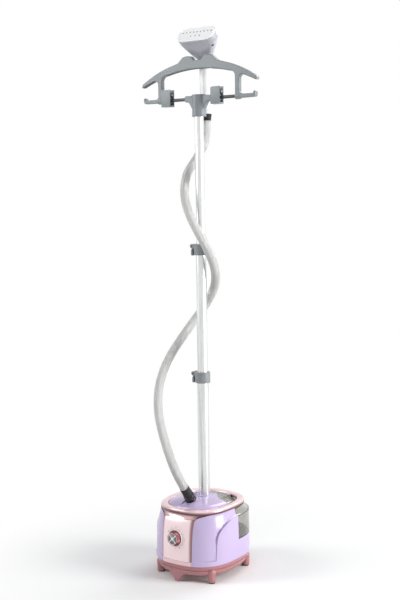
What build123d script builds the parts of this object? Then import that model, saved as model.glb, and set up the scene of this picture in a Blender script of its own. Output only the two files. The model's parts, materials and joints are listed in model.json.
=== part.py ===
from build123d import *
from math import cos, sin, tan, radians, pi, copysign
import os

# Upright garment steamer: base with boiler and lift-off water tank, telescopic pole,
# hanger with two trouser clips, braided steam hose and steam head.
# Millimetres, +Z up, origin on the floor under the middle of the base, front towards -Y.

# ---------------------------------------------------------------- driving sizes
WALL = 2.5                # moulded shell wall
JOIN_GAP = 0.3            # gap between pieces that move apart
SEAT_GAP = 0.1            # gap between a fixed piece and the hole it drops into
RUN_GAP = 0.05            # radial gap of a running fit

# outline of the base, and how far each form is set in at heights above the housing's lower edge
OVAL_POWER = 2.6
OVAL_STEPS = 5
BODY_BOTTOM = 50.0
BODY_TOP = 187.0
BODY_HALF_X = 116.0
BODY_HALF_Y = 131.0
DEPTH_SHARE = 1.15        # the depth is set in by this much more than the width
SIDE_LEVELS = [(-6.0, 0.0), (30.0, 0.1), (70.0, 0.5), (100.0, 1.1), (118.0, 1.7)]
COVE_LEVELS = [(117.5, 2.2), (119.0, 5.2), (122.0, 8.4), (126.0, 10.9), (131.0, 12.4), (137.0, 13.0),
               (150.0, 13.0)]
FRONT_LEVELS = [(-6.0, 0.0), (22.0, 0.2), (50.0, 0.8), (75.0, 2.2), (98.0, 4.6), (120.0, 8.5),
                (137.0, 12.4), (150.0, 13.0)]

# tray, legs and toe
TRAY_BOTTOM = 21.5
TRAY_GROOVE = 36.0
TRAY_BOTTOM_INSET = 11.0
TRAY_GROOVE_INSET = 5.5
TRAY_FLOOR = 3.0
LEG_DIA = 24.0
LEG_X = 85.0
LEG_Y = 83.0
LEG_TOP = 40.0
PAD_DIA = 20.0
PAD_HEIGHT = 3.0
TOE_HALF_TOP = 28.5
TOE_HALF_FOOT = 6.0
TOE_THICK = 10.0
TOE_CLEAR = 1.0

# handle ring and front fascia
RING_TOP = 198.0
RING_WIDTH = 20.0
RING_ROUND = 4.0
RING_SPLIT = 0.5
FASCIA_BOTTOM = 61.0
FASCIA_HALF_LOW = 48.5
FASCIA_HALF_HIGH = 46.0
FASCIA_WAIST = 176.0
FASCIA_PROUD = 1.0
RECESS_DEPTH = 1.5        # of the set-in front and shoulder, below the tapered form
RECESS_BOTTOM = 64.0

# dial
DIAL_Z = 122.0
DIAL_TILT = 4.8
DIAL_SET_IN = 1.4
DIAL_PAD_DIA = 58.0
BEZEL_DIA = 46.0
BEZEL_HEIGHT = 2.0
KNOB_DIA = 41.5
KNOB_FRONT_DIA = 33.5
KNOB_BACK = 1.0
KNOB_FRONT = 12.5
KNOB_RIBS = 48
KNOB_GROOVE_DIA = 1.4
KNOB_FACE_DIA = 30.0
KNOB_FACE_DEEP = 1.5
POINTER_DISC_DIA = 8.4
POINTER_ARM = 2.2
SHAFT_DIA = 6.0
BUSHING_DIA = 10.0
NUT_ACROSS = 14.0
NUT_HEIGHT = 3.0
SWITCH_SIZE = 28.0
SWITCH_DEPTH = 16.0
PANEL_THICK = 6.0

# deck, steam outlet and pole socket
DECK_RISE = 23.0
DECK_FLANGE = 2.5
POLE_Y = 8.0
SOCKET_RIM_DIA = 45.0
SOCKET_OUT_DIA = 40.0
SOCKET_RIM_TOP = 212.0
SOCKET_RIM_HEIGHT = 5.0
SOCKET_FLOOR = 8.0
OUTLET_Y = -55.0
OUTLET_Z = 211.0
OUTLET_TILT = 38.0
OUTLET_COLLAR_DIA = 30.0
OUTLET_COLLAR = 6.0
OUTLET_DIA = 23.0
OUTLET_BORE = 12.0
OUTLET_LONG = 24.0
OUTLET_TAIL = 16.0

# chassis and tank bay
SHELF_Z = 96.0
SHELF_THICK = 3.5
SHELF_FRONT = -18.0
BAY_Y = 6.3
ARCH_HALF = 50.0
ARCH_TOP = 172.0
ARCH_BACK = 68.0
POST_DIA = 11.0
POST_PLACES = [(-62.0, 12.0), (62.0, 12.0), (-58.0, 88.0), (58.0, 88.0)]
SCREW_DIA = 4.0
SCREW_HEAD_DIA = 7.5
SCREW_HEAD = 2.6
SCREW_GRIP = 14.0
HOUSING_BOSS_X = 97.0
HOUSING_BOSS_Y = 34.0
HOUSING_BOSS_TOP = 88.0
TANK_Z = 102.3
TANK_WELL_Z = 180.0
TANK_RIM = 9.0
BLOCK_HALF_X = 38.0
BLOCK_FRONT = 36.0
BLOCK_BACK = 88.0
BLOCK_TOP = 203.0
BLOCK_ROUND = 2.0
VALVE_Y = 97.0
NECK_DIA = 24.0
NECK_BORE = 18.0
NECK_LONG = 9.0
CAP_DIA = 30.0
CAP_FLOOR = 2.5
CAP_GASKET = 1.5
PLUNGER_STEM_DIA = 6.0
PLUNGER_HEAD_DIA = 14.0
SPRING_WIRE = 1.0
SPRING_TURNS = 4.5
SEAT_OUT_DIA = 37.0
SEAT_FLANGE_DIA = 44.0
FEED_DIA = 8.0
FEED_Z = 44.0
FEED_BEND = 14.0

# boiler
BOILER_Y = -50.0
BOILER_DIA = 80.0
BOILER_FLANGE_DIA = 101.0
BOILER_FLANGE = 4.0
BOILER_BOTTOM = 34.0
BOILER_SPLIT = 58.0
BOILER_TOP = 84.0
BOILER_GASKET = 2.0
BOILER_BORE = 44.0
BOILER_SCREW_RADIUS = 45.5
BOILER_SCREW_LONG = 18.0
ELEMENT_RADIUS = 31.0
ELEMENT_DIA = 8.0
ELEMENT_PIN_DIA = 4.0
ELEMENT_GAP = 40.0           # half the turn left open between its pins, in degrees
NOZZLE_DIA = 16.0
NOZZLE_LONG = 8.0
STEAM_PIPE_DIA = 12.0
STEAM_PIPE_BEND = 14.0
PIPE_TAIL = 24.0             # the pipe's straight end below the outlet
THERMOSTAT_DIA = 15.0
THERMOSTAT_HEIGHT = 9.0
DRAIN_DIA = 12.0
DRAIN_HEAD_DIA = 24.0
DRAIN_HEAD = 6.0
DRAIN_SLOT = 2.5
TERMINAL = (30.0, 16.0, 14.0)
TERMINAL_PLACE = (66.0, 48.0)
GLAND_Z = 72.0
GLAND_DIA = 12.0
GLAND_FLANGE_DIA = 19.0
GLAND_LONG = 12.0

# telescopic pole
LOWER_DIA = 32.0
MIDDLE_DIA = 28.5
UPPER_DIA = 25.0
LOWER_TOP = 545.0
MIDDLE_BOTTOM = 451.0
MIDDLE_TOP = 898.0
UPPER_BOTTOM = 804.0
TUBE_GAP = 0.1
CLAMP_BELOW = 18.0
CLAMP_ABOVE = 12.0
CLAMP_WALL = 5.0
PIN_DIA = 4.0
LEVER_OFFSET = 6.5
LEVER_EYE_DIA = 9.0
LEVER_EYE_WIDTH = 9.0
LEVER_WIDTH = 18.0
LEVER_THICK = 6.0
LEVER_LONG = 26.0
EAR_THICK = 4.0

# hanger
HUB_BOTTOM = 1253.0
HUB_TOP = 1312.0
HUB_DIA = 39.0
HUB_HALF = 43.0
HUB_ARM_HEIGHT = 17.0
ROD_DIA = 9.0
ROD_Z = 1301.0
ROD_HALF = 133.0
STRUT_X = 127.0
STRUT_WIDE = 13.0
STRUT_TOP = 1368.0
BOW_TOP = 1404.0
BOW_TIP_X = 192.0
BOW_TIP_Z = 1338.0
BOW_DEEP = 23.0
BOW_TIP_DEEP = 11.0
BOW_THICK = 15.0
HOOK_X = 184.0
HOOK_BAR = 10.0
HOOK_LIP = 15.0
HUMP_X = 32.0
HUMP_RADIUS = 11.0
HUMP_RISE = 2.6
HUMP_CLEAR = 8.0
CLIP_PLACES = {"left": -104.0, "right": 60.0}
CLIP_WIDE = 30.0
CLIP_BOTTOM = 1284.0
CLIP_TOP = 1330.0
CLIP_PLATE = 3.0
CLIP_LIP = 4.0
CLIP_CLEAR = 0.5             # gap between the rod's eye and the jaw
CLIP_EYE_DIA = 17.0
CLIP_EYE_IN = 6.0            # how far the eye's ends are in from the clip's sides
CLIP_PIN_Z = 1316.0
CLIP_PIN_DIA = 3.0
CLIP_KNUCKLE_DIA = 6.0
CLIP_EAR_IN = 3.0
CLIP_JAW_EAR_IN = 8.0
CLIP_EAR_HALF = 2.0
CLIP_COIL_DIA = 5.4

# steam head
HANDLE_DIA = 34.0
HANDLE_Y = 41.0
HANDLE_BOTTOM = 1262.0
HANDLE_TOP = 1404.0
HANDLE_CUFF = 18.0
HEAD_TUBE_DIA = 14.0
PLATE_WIDE = 120.0
PLATE_HIGH = 50.0
PLATE_ROUND = 24.0
PLATE_THICK = 3.0
PLATE_Y = 1.0
PLATE_Z = 1470.0
PLATE_TILT = 50.0
PLATE_HOLE_DIA = 4.0
PLATE_ROWS = [(7.0, 9, 11.5), (-8.0, 3, 14.0)]     # each row's height, its holes and their pitch
HEAD_RIM = 16.0

# steam hose
HOSE_DIA = 24.5
HOSE_NUT_DIA = 31.0
HOSE_NUT_LONG = 13.0
NUT_FLUTES = 16
NUT_FLUTE_DIA = 2.6
HOSE_CUFF_DIA = 28.0
HOSE_CUFF_LONG = 32.0
# the free route of the hose, from below the outlet cuff's end up to the handle
HOSE_START_RUN = 50.0
HOSE_LOWER = [(-13, -135, 352), (-43, -127, 414), (-76, -101, 470), (-98, -62, 530), (-96, -20, 594)]
HOSE_UPPER = [(-62, 34, 676), (-23, 56, 734), (18, 49, 790), (43, 15, 844), (38, -19, 904),
              (10, -37, 964), (-23, -32, 1022)]
HOSE_TAIL = [(-50, 4, 1092), (-36, 40, 1140)]
HOSE_END_RUN = 56.0
HOSE_LOW_SHARE = 0.5
HOSE_HIGH_SHARE = 0.4
HOSE_ARC_SHARE = 0.45        # how much of its shorter run an arc takes


# ---------------------------------------------------------------- helpers
def save(name, *pieces):
    shape = pieces[0] if len(pieces) == 1 else Compound(children=[Part(p.wrapped) for p in pieces])
    export_step(shape, f"parts/{name}.step")


def oval(half_x, half_y, z):
    """A closed superellipse at height z, one curve to each quarter."""
    points = []
    for i in range(4 * OVAL_STEPS):
        turn = pi / 2 * i / OVAL_STEPS
        c = round(cos(turn), 9)
        s = round(sin(turn), 9)
        reach = (abs(c / half_x) ** OVAL_POWER + abs(s / half_y) ** OVAL_POWER) ** (-1 / OVAL_POWER)
        points.append((reach * c, reach * s, z))
    points.append(points[0])
    ends = [(0, 1, 0), (-1, 0, 0), (0, -1, 0), (1, 0, 0), (0, 1, 0)]
    quarters = [Edge.make_spline(points[q * OVAL_STEPS:(q + 1) * OVAL_STEPS + 1], tangents=ends[q:q + 2])
                for q in range(4)]
    return Wire(quarters)


def oval_stack(levels):
    """A solid through superellipses given as (z, half width, half depth)."""
    return Part() + Solid.make_loft([oval(x, y, z) for z, x, y in levels])


def form(levels, inset):
    half_x = BODY_HALF_X - inset
    half_y = BODY_HALF_Y - inset
    return oval_stack([(BODY_BOTTOM + rise, half_x - inward, half_y - inward * DEPTH_SHARE)
                       for rise, inward in levels])


def body_form(inset):
    """The upright outer form, with the hollow shoulder that leads up to the ring."""
    return form(SIDE_LEVELS, inset) + form(COVE_LEVELS, inset)


def front_form(inset):
    """The form of the front, which leans in towards the ring."""
    return form(FRONT_LEVELS, inset)


def slab(z0, z1, x0=-400, x1=400, y0=-400, y1=400):
    return Pos((x0 + x1) / 2, (y0 + y1) / 2, (z0 + z1) / 2) * Box(x1 - x0, y1 - y0, z1 - z0)


def rod(dia, start, end):
    """A round bar between two points."""
    axis = Vector(*end) - Vector(*start)
    plane = Plane(origin=start, z_dir=axis)
    return plane * extrude(Circle(dia / 2), axis.length)


def tube(dia, bore, start, end):
    return rod(dia, start, end) - rod(bore, start, end)


def disc(dia, z0, z1, x=0.0, y=0.0):
    return rod(dia, (x, y, z0), (x, y, z1))


def polygon(*points):
    return make_face(Polyline(*points, close=True))


def prism_x(outline, x0, x1):
    """A solid whose (y, z) outline runs from x0 to x1."""
    return extrude(Plane.YZ.offset(x0) * outline, x1 - x0)


def prism_y(outline, y0, y1):
    """A solid whose (x, z) outline runs from y0 to y1."""
    return extrude(Plane.XZ.offset(-y1) * outline, y1 - y0)


def prism_z(outline, z0, z1):
    return extrude(Plane.XY.offset(z0) * outline, z1 - z0)


def screw(x, y, head_z, tip_z):
    """A pan head screw along Z, its head's seat at head_z and its tip at tip_z."""
    top = head_z + copysign(SCREW_HEAD, head_z - tip_z)
    shank = rod(SCREW_DIA, (x, y, head_z), (x, y, tip_z))
    return shank + rod(SCREW_HEAD_DIA, (x, y, head_z), (x, y, top))


# ---------------------------------------------------------------- shared regions of the base
RING_X = BODY_HALF_X - COVE_LEVELS[-1][1]
RING_Y = BODY_HALF_Y - COVE_LEVELS[-1][1] * DEPTH_SHARE
SEAM_Y = BAY_Y - JOIN_GAP
TANK_TOP = BODY_TOP
INSIDE = WALL + RECESS_DEPTH


def ring_band(z0, z1, grow=0.0):
    """The ring's oval band between two heights."""
    outer = oval_stack([(z, RING_X + grow, RING_Y + grow) for z in (z0, z1)])
    hole = RING_WIDTH + grow
    return outer - oval_stack([(z, RING_X - hole, RING_Y - hole) for z in (z0 - 1, z1 + 1)])


def handle_room():
    """What the lifted handle leaves free above the fixed shells, behind the ring's split."""
    room = oval_stack([(z, RING_X + 2, RING_Y + 2) for z in (BODY_TOP - JOIN_GAP, RING_TOP + 5)])
    room -= oval_stack([(z, RING_X - RING_WIDTH - JOIN_GAP, RING_Y - RING_WIDTH - JOIN_GAP)
                        for z in (BODY_TOP - 5, RING_TOP + 9)])
    return room & slab(0, 400, y0=-JOIN_GAP)


def fascia_window(shrink=0.0):
    """The front opening, flared out to both sides under the ring."""
    top = BODY_TOP + 2 if shrink == 0 else BODY_TOP - shrink
    low = FASCIA_BOTTOM + shrink
    right = [(FASCIA_HALF_LOW - shrink, low), (FASCIA_HALF_HIGH - shrink, FASCIA_WAIST),
             (FASCIA_HALF_HIGH + 12 - shrink, FASCIA_WAIST + 6), (88 - shrink, BODY_TOP), (88 - shrink, top)]
    if shrink > 0:
        right = right[:2] + [(FASCIA_HALF_HIGH - shrink, top)]
    left = [(-x, z) for x, z in reversed(right)]
    return prism_y(polygon(*right, *left), -200, 0)


def recess_zone(grow=0.0):
    """The set-in front and shoulder of the housing, in front of the swept edge."""
    edge = Spline((-82, RECESS_BOTTOM), (-77, 121), (-67, 142), (-37, 161), (-3, 167))
    rest = Polyline((-3, 167), (-3, 230), (-200, 230), (-200, RECESS_BOTTOM), (-82, RECESS_BOTTOM))
    zone = prism_x(make_face([edge, *rest.edges()]), -200, 200)
    return Pos(0, grow, 0) * zone + Pos(0, 0, -grow) * zone if grow else zone


def deck_zone(shift=0.0):
    """The plan of the deck: straight behind the pole, then swept forward to both seams."""
    edge = [(140, 0.5), (62, 1), (51, 3), (37, 17), (27, 30.5)]
    points = [(x, y + shift) for x, y in edge] + [(-x, y + shift) for x, y in reversed(edge)]
    return prism_z(polygon(*points, (-140, -200), (140, -200)), 150, 260)


def arch(half, top, y0, y1):
    """The round-topped cover behind the pole."""
    spring = top - half
    sides = Polyline((-half, spring), (-half, SHELF_Z), (half, SHELF_Z), (half, spring))
    crown = ThreePointArc((half, spring), (0, top), (-half, spring))
    return prism_y(make_face([*sides.edges(), crown.edge()]), y0, y1)


def at_each(places, make):
    return [make(x, y) for x, y in places]


def corners(x, y):
    return [(-x, -y), (x, -y), (x, y), (-x, y)]


def ring_places(count, radius, x, y, start=45.0):
    turns = [radians(start + 360 * i / count) for i in range(count)]
    return [(x + radius * cos(t), y + radius * sin(t)) for t in turns]


HOUSING_SCREWS = corners(HOUSING_BOSS_X, HOUSING_BOSS_Y)
BOILER_SCREWS = ring_places(4, BOILER_SCREW_RADIUS, 0, BOILER_Y)
TRAY_INSIDE = TRAY_BOTTOM + TRAY_FLOOR


# ---------------------------------------------------------------- tray, feet and housing
def tray_inset(z):
    if z < TRAY_GROOVE:
        share = (z - TRAY_BOTTOM) / (TRAY_GROOVE - TRAY_BOTTOM)
        return TRAY_BOTTOM_INSET + share * (TRAY_GROOVE_INSET - TRAY_BOTTOM_INSET)
    share = (z - TRAY_GROOVE) / (BODY_BOTTOM - TRAY_GROOVE)
    return TRAY_GROOVE_INSET + share * (0.8 - TRAY_GROOVE_INSET)


def tray_form(z0, z1, wall):
    insets = [(z, tray_inset(z) + wall) for z in sorted({z0, TRAY_GROOVE, z1})]
    return oval_stack([(z, BODY_HALF_X - inset, BODY_HALF_Y - inset) for z, inset in insets])


def make_toe():
    right = Spline((TOE_HALF_TOP, BODY_BOTTOM - 2), (16, 26), (TOE_HALF_FOOT, TOE_CLEAR))
    left = Spline((-TOE_HALF_FOOT, TOE_CLEAR), (-16, 26), (-TOE_HALF_TOP, BODY_BOTTOM - 2))
    sole = Line((TOE_HALF_FOOT, TOE_CLEAR), (-TOE_HALF_FOOT, TOE_CLEAR))
    top = Line((-TOE_HALF_TOP, BODY_BOTTOM - 2), (TOE_HALF_TOP, BODY_BOTTOM - 2))
    return prism_y(make_face([right, sole, left, top]), -BODY_HALF_Y, -BODY_HALF_Y + TOE_THICK)


def make_tray():
    inside = tray_form(TRAY_INSIDE, BODY_BOTTOM + 1, WALL)
    tray = tray_form(TRAY_BOTTOM, BODY_BOTTOM, 0)
    for x, y in corners(LEG_X, LEG_Y):
        tray += disc(LEG_DIA, PAD_HEIGHT, LEG_TOP, x, y)
    tray += make_toe()
    tray -= inside
    for x, y in BOILER_SCREWS:
        tray += disc(10, TRAY_INSIDE - 0.5, BOILER_SPLIT - BOILER_FLANGE, x, y)
    for x, y in POST_PLACES + HOUSING_SCREWS:
        tray -= disc(SCREW_DIA, TRAY_BOTTOM - 1, TRAY_INSIDE + 1, x, y)
    for tool in boiler_screw_tools():
        tray -= tool
    tray -= disc(DRAIN_DIA + 2, 0, TRAY_INSIDE + 1, 0, BOILER_Y)
    return tray


def make_pads():
    return at_each(corners(LEG_X, LEG_Y), lambda x, y: disc(PAD_DIA, 0, PAD_HEIGHT, x, y))


def make_housing():
    skin = body_form(0) - (recess_zone() - front_form(RECESS_DEPTH))
    skin -= body_form(WALL) - recess_zone(WALL)
    skin -= front_form(INSIDE)
    skin &= slab(BODY_BOTTOM, BODY_TOP)
    skin -= fascia_window()
    skin -= slab(TANK_Z - JOIN_GAP, 300, y0=SEAM_Y)
    skin -= handle_room()
    skin -= rod(GLAND_DIA + 2 * SEAT_GAP, (0, 100, GLAND_Z), (0, 160, GLAND_Z))
    for x, y in HOUSING_SCREWS:
        side = copysign(1, x)
        inner, outer = sorted((x, side * (BODY_HALF_X - WALL + SEAT_GAP * 3)))
        skin += slab(BODY_BOTTOM + 2, HOUSING_BOSS_TOP, inner, outer, y - 1.5, y + 1.5)
        skin += disc(9, TRAY_INSIDE, HOUSING_BOSS_TOP, x, y)
        skin -= disc(SCREW_DIA, TRAY_INSIDE - 1, TRAY_BOTTOM + SCREW_GRIP, x, y)
    return skin


def make_ring_half(front):
    ring = ring_band(BODY_TOP, RING_TOP)
    ring = fillet(ring.edges().filter_by(GeomType.LINE, reverse=True).group_by(Axis.Z)[-1], RING_ROUND)
    if front:
        return ring & slab(0, 400, y1=-RING_SPLIT / 2)
    return ring & slab(0, 400, y0=RING_SPLIT / 2)


DIAL = Plane(origin=(0, -(BODY_HALF_Y + FASCIA_PROUD - DIAL_SET_IN), DIAL_Z), x_dir=(1, 0, 0),
             z_dir=(0, -cos(radians(DIAL_TILT)), sin(radians(DIAL_TILT))))


def dial_disc(dia, z0, z1):
    return DIAL * Pos(0, 0, z0) * extrude(Circle(dia / 2), z1 - z0)


def make_fascia():
    skin = (front_form(-FASCIA_PROUD) - front_form(INSIDE)) & fascia_window()
    skin -= (front_form(WALL) - front_form(INSIDE + 5)) & fascia_window(3.0)
    skin &= slab(FASCIA_BOTTOM, BODY_TOP)
    skin += dial_disc(DIAL_PAD_DIA, -4, 0)
    skin += dial_disc(SWITCH_SIZE + 4, -PANEL_THICK, -1)
    skin -= dial_disc(BUSHING_DIA, -20, 20)
    skin += make_ring_half(True)
    return skin


# ---------------------------------------------------------------- dial and switch
def make_bezel():
    return dial_disc(BEZEL_DIA, 0, BEZEL_HEIGHT) - dial_disc(KNOB_DIA + 2 * JOIN_GAP, -1, 9)


def make_knob():
    cone = Cone(KNOB_DIA / 2, KNOB_FRONT_DIA / 2, KNOB_FRONT - KNOB_BACK)
    knob = DIAL * Pos(0, 0, (KNOB_BACK + KNOB_FRONT) / 2) * cone
    groove = rod(KNOB_GROOVE_DIA, (KNOB_DIA / 2, 0, KNOB_BACK + 1), (KNOB_FRONT_DIA / 2, 0, KNOB_FRONT + 1))
    knob -= [DIAL * Rot(0, 0, 360 * i / KNOB_RIBS) * groove for i in range(KNOB_RIBS)]
    knob -= dial_disc(KNOB_FACE_DIA, 0, KNOB_FRONT / 2)
    knob -= dial_disc(KNOB_FACE_DIA, KNOB_FRONT - KNOB_FACE_DEEP, KNOB_FRONT + 1)
    return knob - dial_disc(SHAFT_DIA, 0, KNOB_FRONT - 3)


def make_knob_face():
    """The pressed-in disc with its raised cross and hub."""
    top = KNOB_FRONT + 0.5
    face = dial_disc(KNOB_FACE_DIA, KNOB_FRONT - KNOB_FACE_DEEP, top)
    face += dial_disc(POINTER_DISC_DIA, top - 1, top + 1)
    arm = Rectangle(KNOB_FACE_DIA - 2, POINTER_ARM)
    for turn in (45, 135):
        face += DIAL * Pos(0, 0, top - 1) * extrude(Rot(0, 0, turn) * arm, 1.6)
    return face


def make_switch():
    box = extrude(Rectangle(SWITCH_SIZE, SWITCH_SIZE), SWITCH_DEPTH)
    body = DIAL * Pos(0, 0, -PANEL_THICK - SWITCH_DEPTH) * box
    body += dial_disc(BUSHING_DIA, -PANEL_THICK - 1, NUT_HEIGHT + 1)
    return body - dial_disc(SHAFT_DIA + 2 * RUN_GAP, -PANEL_THICK - SWITCH_DEPTH + 3, 20)


def make_shaft():
    return dial_disc(SHAFT_DIA, -PANEL_THICK - SWITCH_DEPTH + 3.5, KNOB_FRONT - 3)


def make_switch_nut():
    nut = DIAL * extrude(RegularPolygon(NUT_ACROSS / 2, 6, major_radius=False), NUT_HEIGHT)
    return nut - dial_disc(BUSHING_DIA, -1, 9)


# ---------------------------------------------------------------- deck, outlet, socket
OUTLET = Plane(origin=(0, OUTLET_Y, OUTLET_Z), x_dir=(1, 0, 0),
               z_dir=(0, -sin(radians(OUTLET_TILT)), cos(radians(OUTLET_TILT))))


def outlet_disc(dia, z0, z1):
    return OUTLET * Pos(0, 0, z0) * extrude(Circle(dia / 2), z1 - z0)


def outlet_point(along):
    return tuple(OUTLET.origin + OUTLET.z_dir * along)


def dome(drop):
    rim_x = RING_X - RING_WIDTH - JOIN_GAP - drop
    rim_y = RING_Y - RING_WIDTH - JOIN_GAP - drop
    steps = [(-drop - 6, 0), (0, 0), (9, 1), (15, 7), (19, 19), (22, 35), (DECK_RISE, 55)]
    return oval_stack([(BODY_TOP - drop + rise, rim_x - inset, rim_y - inset) for rise, inset in steps])


def make_deck():
    channel = slab(BODY_TOP, 300, -13, 13, -RING_Y + RING_WIDTH + 3, OUTLET_Y - 6)
    deck = dome(0) & slab(BODY_TOP - 0.5, 300)
    deck -= channel - dome(2)
    deck += front_form(INSIDE + SEAT_GAP) & slab(BODY_TOP - DECK_FLANGE, BODY_TOP)
    deck -= dome(3.5)
    deck += outlet_disc(OUTLET_COLLAR_DIA + 4, -14, 0)
    deck += disc(SOCKET_RIM_DIA + 3, BODY_TOP + 12, SOCKET_RIM_TOP - SOCKET_RIM_HEIGHT, 0, POLE_Y)
    deck &= deck_zone()
    deck -= handle_room()
    deck -= outlet_disc(OUTLET_TAIL, -40, 20)
    deck -= outlet_disc(OUTLET_COLLAR_DIA + 4, 0, 40)
    deck -= disc(SOCKET_RIM_DIA + 2 * SEAT_GAP, SOCKET_RIM_TOP - SOCKET_RIM_HEIGHT, 300, 0, POLE_Y)
    return deck - disc(SOCKET_OUT_DIA + 2 * SEAT_GAP, 100, 300, 0, POLE_Y)


def make_outlet():
    outlet = outlet_disc(OUTLET_COLLAR_DIA, 0, OUTLET_COLLAR)
    outlet += outlet_disc(OUTLET_DIA, 0, OUTLET_LONG)
    outlet += outlet_disc(OUTLET_TAIL, -OUTLET_TAIL, 1)
    return outlet - outlet_disc(OUTLET_BORE - 3, -20, OUTLET_LONG + 2)


def make_socket():
    top = SOCKET_RIM_TOP
    floor_z = SHELF_Z + SHELF_THICK
    socket = disc(SOCKET_OUT_DIA, floor_z, top, 0, POLE_Y)
    socket += disc(SOCKET_RIM_DIA, top - SOCKET_RIM_HEIGHT, top, 0, POLE_Y)
    return socket - disc(LOWER_DIA + 2 * SEAT_GAP, floor_z + SOCKET_FLOOR, top + 1, 0, POLE_Y)


# ---------------------------------------------------------------- chassis and water tank
def make_chassis():
    inside = body_form(WALL + SEAT_GAP)
    chassis = inside & slab(SHELF_Z, SHELF_Z + SHELF_THICK, y0=SHELF_FRONT)
    chassis += inside & slab(SHELF_Z, BODY_TOP - DECK_FLANGE - SEAT_GAP, y0=SEAM_Y - 4.5, y1=SEAM_Y - 1.5)
    chassis -= arch(ARCH_HALF - 1, ARCH_TOP - 1, SEAM_Y - 9, SEAM_Y)
    chassis += arch(ARCH_HALF, ARCH_TOP, SEAM_Y - 4.5, ARCH_BACK)
    chassis -= arch(ARCH_HALF - WALL, ARCH_TOP - WALL, SEAM_Y - 9, ARCH_BACK - WALL)
    chassis += inside & slab(SHELF_Z, SHELF_Z + SHELF_THICK, -ARCH_HALF, ARCH_HALF, SHELF_FRONT, ARCH_BACK)
    for x, y in POST_PLACES:
        chassis += disc(POST_DIA, TRAY_INSIDE, SHELF_Z + 0.5, x, y)
        chassis -= disc(SCREW_DIA, TRAY_INSIDE - 1, TRAY_BOTTOM + SCREW_GRIP, x, y)
    floor_z = SHELF_Z + SHELF_THICK
    chassis -= disc(SOCKET_OUT_DIA + 2 * SEAT_GAP, floor_z, 300, 0, POLE_Y)
    chassis -= disc(SEAT_OUT_DIA + 2 * SEAT_GAP, 0, floor_z + 1, 0, VALVE_Y)
    return chassis


def tank_zone(gap):
    """Where the tank may be: behind the bay wall and the deck, clear of the arched cover."""
    zone = body_form(gap) & slab(TANK_Z + gap, TANK_TOP - gap, y0=BAY_Y + gap)
    cover = ARCH_HALF + 1 - JOIN_GAP + gap
    zone -= arch(cover, ARCH_TOP + 1 - JOIN_GAP + gap, 0, ARCH_BACK + 1 - JOIN_GAP + gap)
    zone -= slab(0, ARCH_TOP - ARCH_HALF, -cover, cover, 0, ARCH_BACK + 1 - JOIN_GAP + gap)
    return zone - deck_zone(JOIN_GAP * 2 + gap)


def make_tank():
    """The shell, and the hollow block welded on its top."""
    block = slab(TANK_WELL_Z, BLOCK_TOP, -BLOCK_HALF_X, BLOCK_HALF_X, BLOCK_FRONT, BLOCK_BACK)
    block = fillet(block.edges().group_by(Axis.Z)[-1], BLOCK_ROUND)
    block -= slab(TANK_WELL_Z - 1, BLOCK_TOP - WALL, WALL - BLOCK_HALF_X, BLOCK_HALF_X - WALL,
                  BLOCK_FRONT + WALL, BLOCK_BACK - WALL)
    tank = tank_zone(0)
    tank -= body_form(TANK_RIM) & slab(TANK_WELL_Z, 300, y0=BAY_Y + 1)
    tank -= tank_zone(WALL) & slab(0, TANK_WELL_Z - WALL)
    tank += disc(NECK_DIA, TANK_Z - NECK_LONG, TANK_Z + WALL, 0, VALVE_Y)
    tank -= disc(NECK_BORE, 0, TANK_Z + WALL, 0, VALVE_Y)
    tank += disc(NECK_DIA, TANK_Z + WALL, TANK_Z + WALL + 2, 0, VALVE_Y)
    tank -= disc(PLUNGER_STEM_DIA + 2 * RUN_GAP, 0, TANK_Z + WALL + 3, 0, VALVE_Y)
    for x in (-7, 7):
        tank -= disc(3, 0, TANK_Z + WALL + 3, x, VALVE_Y)
    return tank, block


NECK_END = TANK_Z - NECK_LONG
CAP_BASE = NECK_END - CAP_GASKET - CAP_FLOOR


def make_tank_cap():
    cap = disc(CAP_DIA, CAP_BASE, TANK_Z - 1, 0, VALVE_Y)
    cap -= disc(NECK_DIA + 2 * RUN_GAP, CAP_BASE + CAP_FLOOR, TANK_Z, 0, VALVE_Y)
    return cap - disc(PLUNGER_STEM_DIA + 2 * RUN_GAP, 0, TANK_Z, 0, VALVE_Y)


def make_cap_gasket():
    low = CAP_BASE + CAP_FLOOR
    return disc(NECK_DIA, low, low + CAP_GASKET, 0, VALVE_Y) - disc(NECK_BORE, 0, TANK_Z, 0, VALVE_Y)


def make_plunger():
    seat = CAP_BASE + CAP_FLOOR + RUN_GAP
    plunger = disc(PLUNGER_STEM_DIA, CAP_BASE - 2, seat + 16, 0, VALVE_Y)
    return plunger + disc(PLUNGER_HEAD_DIA, seat, seat + 2, 0, VALVE_Y)


def make_valve_spring():
    low = CAP_BASE + CAP_FLOOR + RUN_GAP + 2
    high = TANK_Z + WALL
    radius = PLUNGER_STEM_DIA / 2 + SPRING_WIRE + 0.6
    height = high - low - SPRING_WIRE - 0.4
    path = Pos(0, VALVE_Y, low + SPRING_WIRE / 2 + 0.2) * Helix(height / SPRING_TURNS, height, radius)
    start = Plane(origin=path @ 0, z_dir=path % 0)
    return sweep(start * Circle(SPRING_WIRE / 2), path=path)


def make_tank_seat():
    top = SHELF_Z + SHELF_THICK
    low = CAP_BASE - 8
    seat = disc(SEAT_FLANGE_DIA, top, top + 1.5, 0, VALVE_Y) + disc(SEAT_OUT_DIA, low, top + 1, 0, VALVE_Y)
    seat -= disc(CAP_DIA + 2 * JOIN_GAP + 1, CAP_BASE - JOIN_GAP - 4.5, 200, 0, VALVE_Y)
    seat += disc(PLUNGER_STEM_DIA - 2, low, CAP_BASE - 2 - JOIN_GAP, 2.5, VALVE_Y)
    seat += disc(FEED_DIA + 4, low - 8, low + 1, 0, VALVE_Y)
    return seat - disc(FEED_DIA - 4, 0, CAP_BASE - 5, 0, VALVE_Y)


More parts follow.
